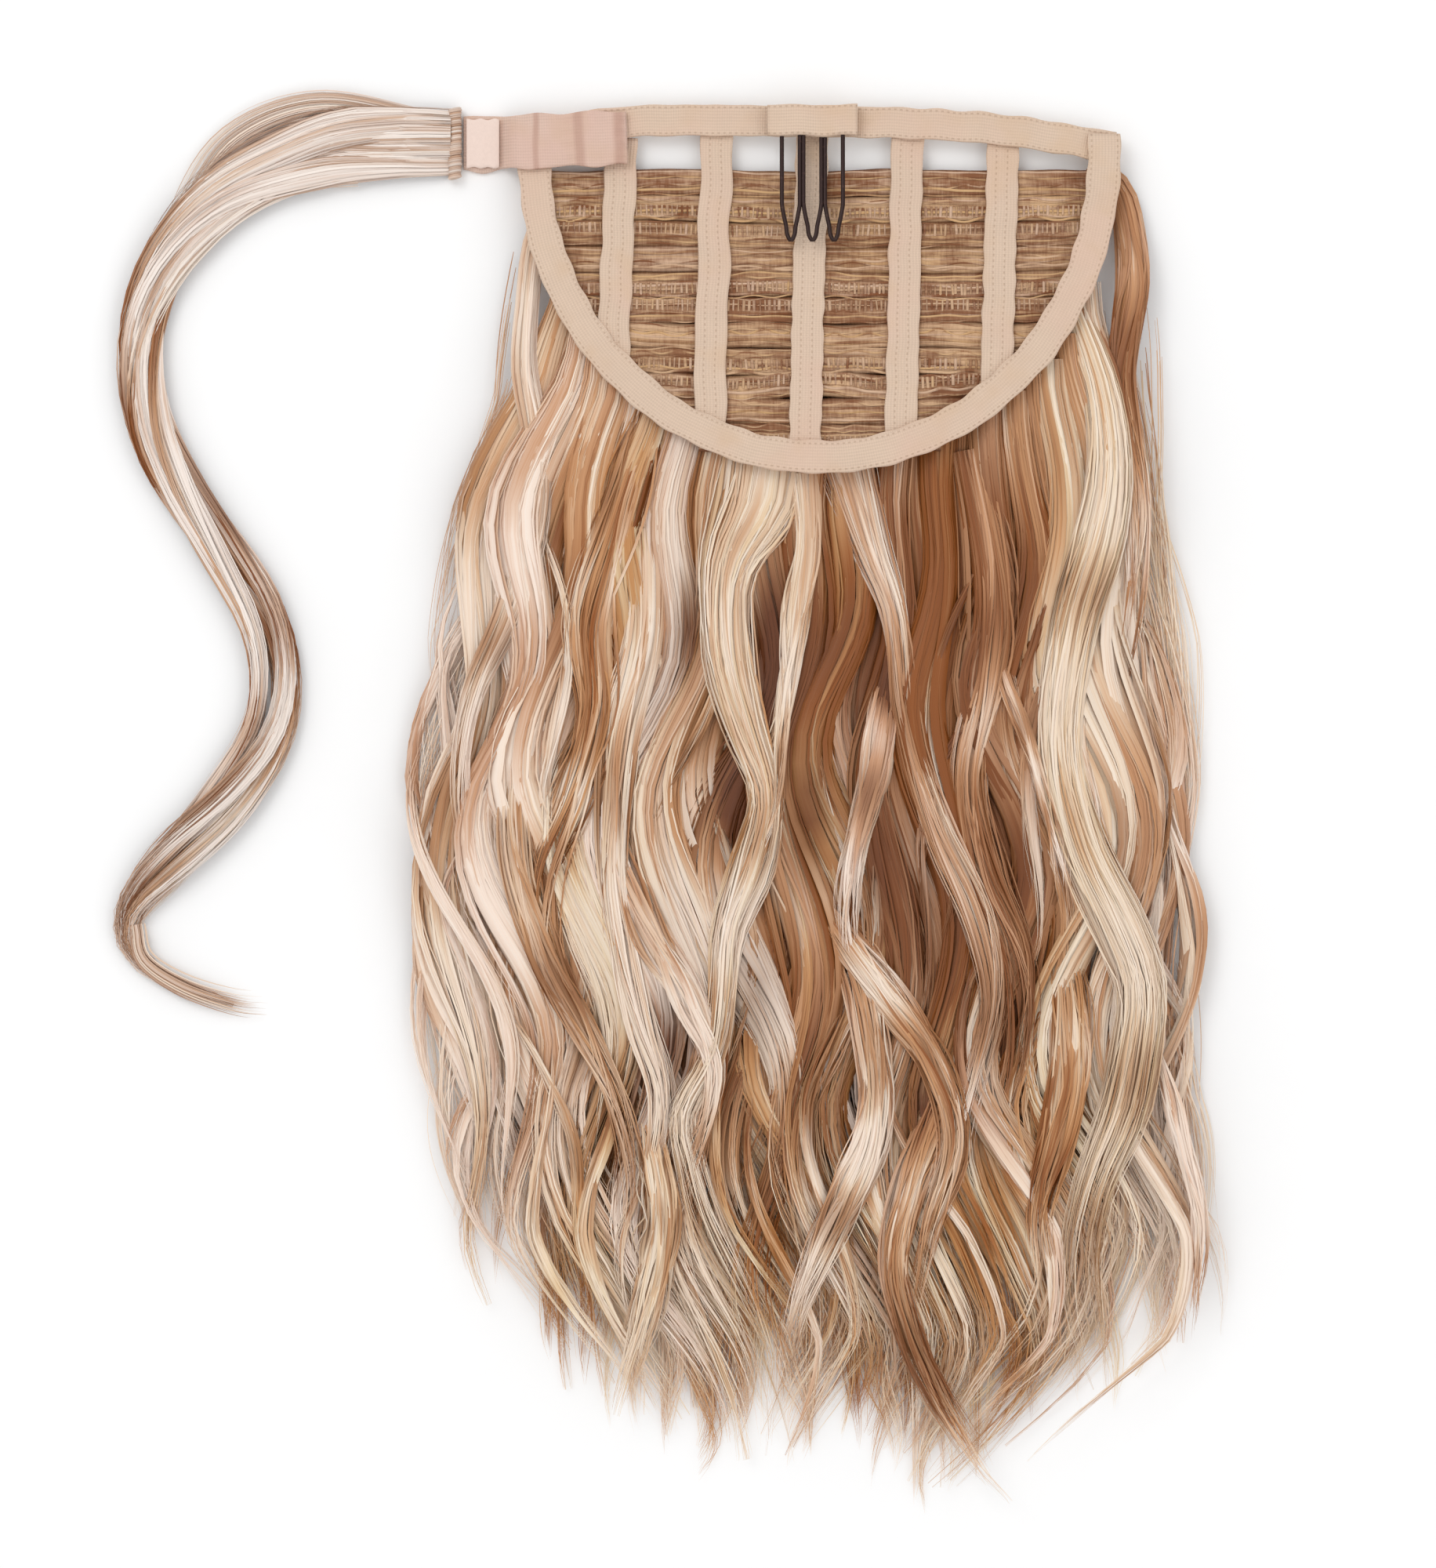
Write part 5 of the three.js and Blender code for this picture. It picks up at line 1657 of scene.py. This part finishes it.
class HAIRPIECE_OT_wefts(bpy.types.Operator):
    """Sew the rows of weft behind the straps"""

    bl_idname = "hairpiece.wefts"
    bl_label = "Weft rows"

    def execute(self, context):
        material = weft_finish("weft_hair", context.scene.hairpiece_hair)
        for at in range(WEFT_ROWS):
            rng = np.random.default_rng(100 + at)
            row = weft_row(rng, at)
            sheets = Sheets()
            weft_body(sheets, rng, row)
            weft_threads(sheets, rng, row)
            if at % 3:
                weft_ribs(sheets, rng, row)
            piece = sheets.build(f"weft_hair_{at + 1:02d}", material)
            settle(piece, "weft_hair", f"weft_row_{at + 1:02d}")
        return {"FINISHED"}


class HAIRPIECE_OT_closure(bpy.types.Operator):
    """Sew the closure tab, its hook strip and the bound end of the wrap strand"""

    bl_idname = "hairpiece.closure"
    bl_label = "Closure tab"

    def execute(self, context):
        cap = context.scene.hairpiece_cap
        low, _ = box_mm("closure_tab")
        flat_end = low[0] + TAB_FLAT
        path = np.array(
            [
                (low[0], TAB_RISE),
                (flat_end, TAB_RISE),
                (TAB_CLIMB, TAB_RISE),
                ((TAB_CLIMB + TAB_END) / 2, TAB_RISE + 0.5),
                (TAB_END, TAB_RISE + 1.1),
            ]
        )
        grid, length = tape_grid(path, TAB_HALF, tab_level, TAB_THICK, 51, wobble=0.3)
        for place, reach in TAB_GATHERS:
            near = np.exp(-(((grid[..., 0] - place) / reach) ** 2))
            grid[..., 2] += 0.35 * near * np.cos(grid[..., 1] * 1.9)
        cloth = tape_finish("tab_cloth", cap.tab, creases=TAB_CREASES)
        settle(woven_piece("tab_cloth", grid, length, cloth), "tab_cloth", "closure_tab")
        finish = Finish("hook_cloth", roughness=0.95, specular=0.2)
        fuzz = finish.noise(finish.place(), 1400.0, 3.0)
        pale = finish.blend(fuzz, paint(cap.hook, 0.9), paint(cap.hook))
        hooks = finish.feed(base_color=pale, normal=finish.bump(fuzz, 0.5, 0.0003))
        grid, length = straight_tape("hook_strip", 52, wobble=0.05)
        settle(woven_piece("hook_face", grid, length, hooks), "hook_cloth", "hook_strip")
        hair = context.scene.hairpiece_hair
        thread = hair_finish("seam_thread", hair, hair.wrap_ash, hair.wrap_tan)
        sheets = bound_end(np.random.default_rng(61))
        settle(sheets.build("bound_end", thread), "wrap_hair", "wrap_seam")
        return {"FINISHED"}


class HAIRPIECE_OT_wrap_strand(bpy.types.Operator):
    """Lay the strand that wraps round the ponytail"""

    bl_idname = "hairpiece.wrap_strand"
    bl_label = "Wrap strand"

    def execute(self, context):
        hair = context.scene.hairpiece_hair
        rng = np.random.default_rng(hair.seed + 70)
        material = hair_finish("wrap_hair", hair, hair.wrap_ash, hair.wrap_tan)
        sheets = Sheets()
        for lock in wrap_locks(rng):
            skin_of(sheets, lock, rng, zones=False)
            strands_of(sheets, lock, rng, hair.strand * 0.9, 48, zones=False)
        wrap_wisps(sheets, rng, LOOSE_WRAP_STRANDS, hair.strand * 0.6)
        piece = sheets.build("wrap_strand_hair", material)
        settle(piece, "wrap_hair", "wrap_strand")
        return {"FINISHED"}


class HAIRPIECE_OT_outer_hair(bpy.types.Operator):
    """Lay the lowest and widest layer of the fall, its thin edge locks and stray strands"""

    bl_idname = "hairpiece.outer_hair"
    bl_label = "Outer hair"

    def execute(self, context):
        hair = context.scene.hairpiece_hair
        rng = np.random.default_rng(hair.seed)
        sheets = layer_sheets(hair, rng, OUTER_LAYER)
        for lock in edge_locks(hair, rng, EDGE_LOCKS):
            strands_of(sheets, lock, rng, hair.strand * 0.5, 25)
        flyaways(sheets, rng, FLYAWAYS, hair.strand * 0.4)
        piece = sheets.build("outer_hair", hair_finish("outer_fall", hair))
        settle(piece, "fall_hair", "hair_outer_layer")
        return {"FINISHED"}


class HAIRPIECE_OT_middle_hair(bpy.types.Operator):
    """Lay the middle layer of the fall"""

    bl_idname = "hairpiece.middle_hair"
    bl_label = "Middle hair"

    def execute(self, context):
        hair = context.scene.hairpiece_hair
        rng = np.random.default_rng(hair.seed + 1)
        sheets = layer_sheets(hair, rng, MIDDLE_LAYER)
        piece = sheets.build("middle_hair", hair_finish("middle_fall", hair))
        settle(piece, "fall_hair", "hair_middle_layer")
        return {"FINISHED"}


class HAIRPIECE_OT_inner_hair(bpy.types.Operator):
    """Lay the top layer of the fall, which starts at the rim"""

    bl_idname = "hairpiece.inner_hair"
    bl_label = "Inner hair"

    def execute(self, context):
        hair = context.scene.hairpiece_hair
        rng = np.random.default_rng(hair.seed + 2)
        sheets = layer_sheets(hair, rng, INNER_LAYER)
        piece = sheets.build("inner_hair", hair_finish("inner_fall", hair))
        settle(piece, "fall_hair", "hair_inner_layer")
        return {"FINISHED"}


class HAIRPIECE_OT_crest_hair(bpy.types.Operator):
    """Lay the separate locks on top of the fall, then the thin crossing locks and fine ends"""

    bl_idname = "hairpiece.crest_hair"
    bl_label = "Crest locks"

    def execute(self, context):
        hair = context.scene.hairpiece_hair
        rng = np.random.default_rng(hair.seed + 3)
        sheets = Sheets()
        for lock in crest_locks(rng):
            skin_of(sheets, lock, rng, zones=False)
            strands_of(sheets, lock, rng, hair.strand * 0.95, 34, zones=False)
        piece = sheets.build("crest_hair", hair_finish("crest_fall", hair))
        settle(piece, "fall_hair")
        sheets = Sheets()
        for lock in crossing_locks(hair, rng, CROSSING_LOCKS):
            strands_of(sheets, lock, rng, hair.strand * 0.6, 30)
        hem_wisps(sheets, rng, HEM_WISPS, hair.strand * 0.42)
        piece = sheets.build("loose_hair", hair_finish("loose_fall", hair))
        settle(piece, "fall_hair")
        return {"FINISHED"}


class HAIRPIECE_PT_panel(bpy.types.Panel):
    """Lists the steps of the build"""

    bl_label = "Hairpiece"
    bl_idname = "HAIRPIECE_PT_panel"
    bl_space_type = "VIEW_3D"
    bl_region_type = "UI"
    bl_category = "Hairpiece"

    def draw(self, context):
        for group in ("hairpiece_hair", "hairpiece_cap", "hairpiece_stage"):
            box = self.layout.box()
            settings = getattr(context.scene, group)
            for key in settings.__annotations__:
                box.prop(settings, key)
        for step in STEPS:
            self.layout.operator(step.bl_idname)


STEPS = (
    HAIRPIECE_OT_stage,
    HAIRPIECE_OT_tapes,
    HAIRPIECE_OT_comb,
    HAIRPIECE_OT_wefts,
    HAIRPIECE_OT_closure,
    HAIRPIECE_OT_wrap_strand,
    HAIRPIECE_OT_outer_hair,
    HAIRPIECE_OT_middle_hair,
    HAIRPIECE_OT_inner_hair,
    HAIRPIECE_OT_crest_hair,
)
CLASSES = (HairSettings, CapSettings, StageSettings, *STEPS, HAIRPIECE_PT_panel)


def register():
    for cls in CLASSES:
        bpy.utils.register_class(cls)
    bpy.types.Scene.hairpiece_hair = PointerProperty(type=HairSettings)
    bpy.types.Scene.hairpiece_cap = PointerProperty(type=CapSettings)
    bpy.types.Scene.hairpiece_stage = PointerProperty(type=StageSettings)


def unregister():
    del bpy.types.Scene.hairpiece_stage
    del bpy.types.Scene.hairpiece_cap
    del bpy.types.Scene.hairpiece_hair
    for cls in reversed(CLASSES):
        bpy.utils.unregister_class(cls)


def main():
    register()
    bpy.ops.hairpiece.stage()
    bpy.ops.hairpiece.tapes()
    bpy.ops.hairpiece.comb()
    bpy.ops.hairpiece.wefts()
    bpy.ops.hairpiece.closure()
    bpy.ops.hairpiece.wrap_strand()
    bpy.ops.hairpiece.outer_hair()
    bpy.ops.hairpiece.middle_hair()
    bpy.ops.hairpiece.inner_hair()
    bpy.ops.hairpiece.crest_hair()


if __name__ == "__main__":
    main()
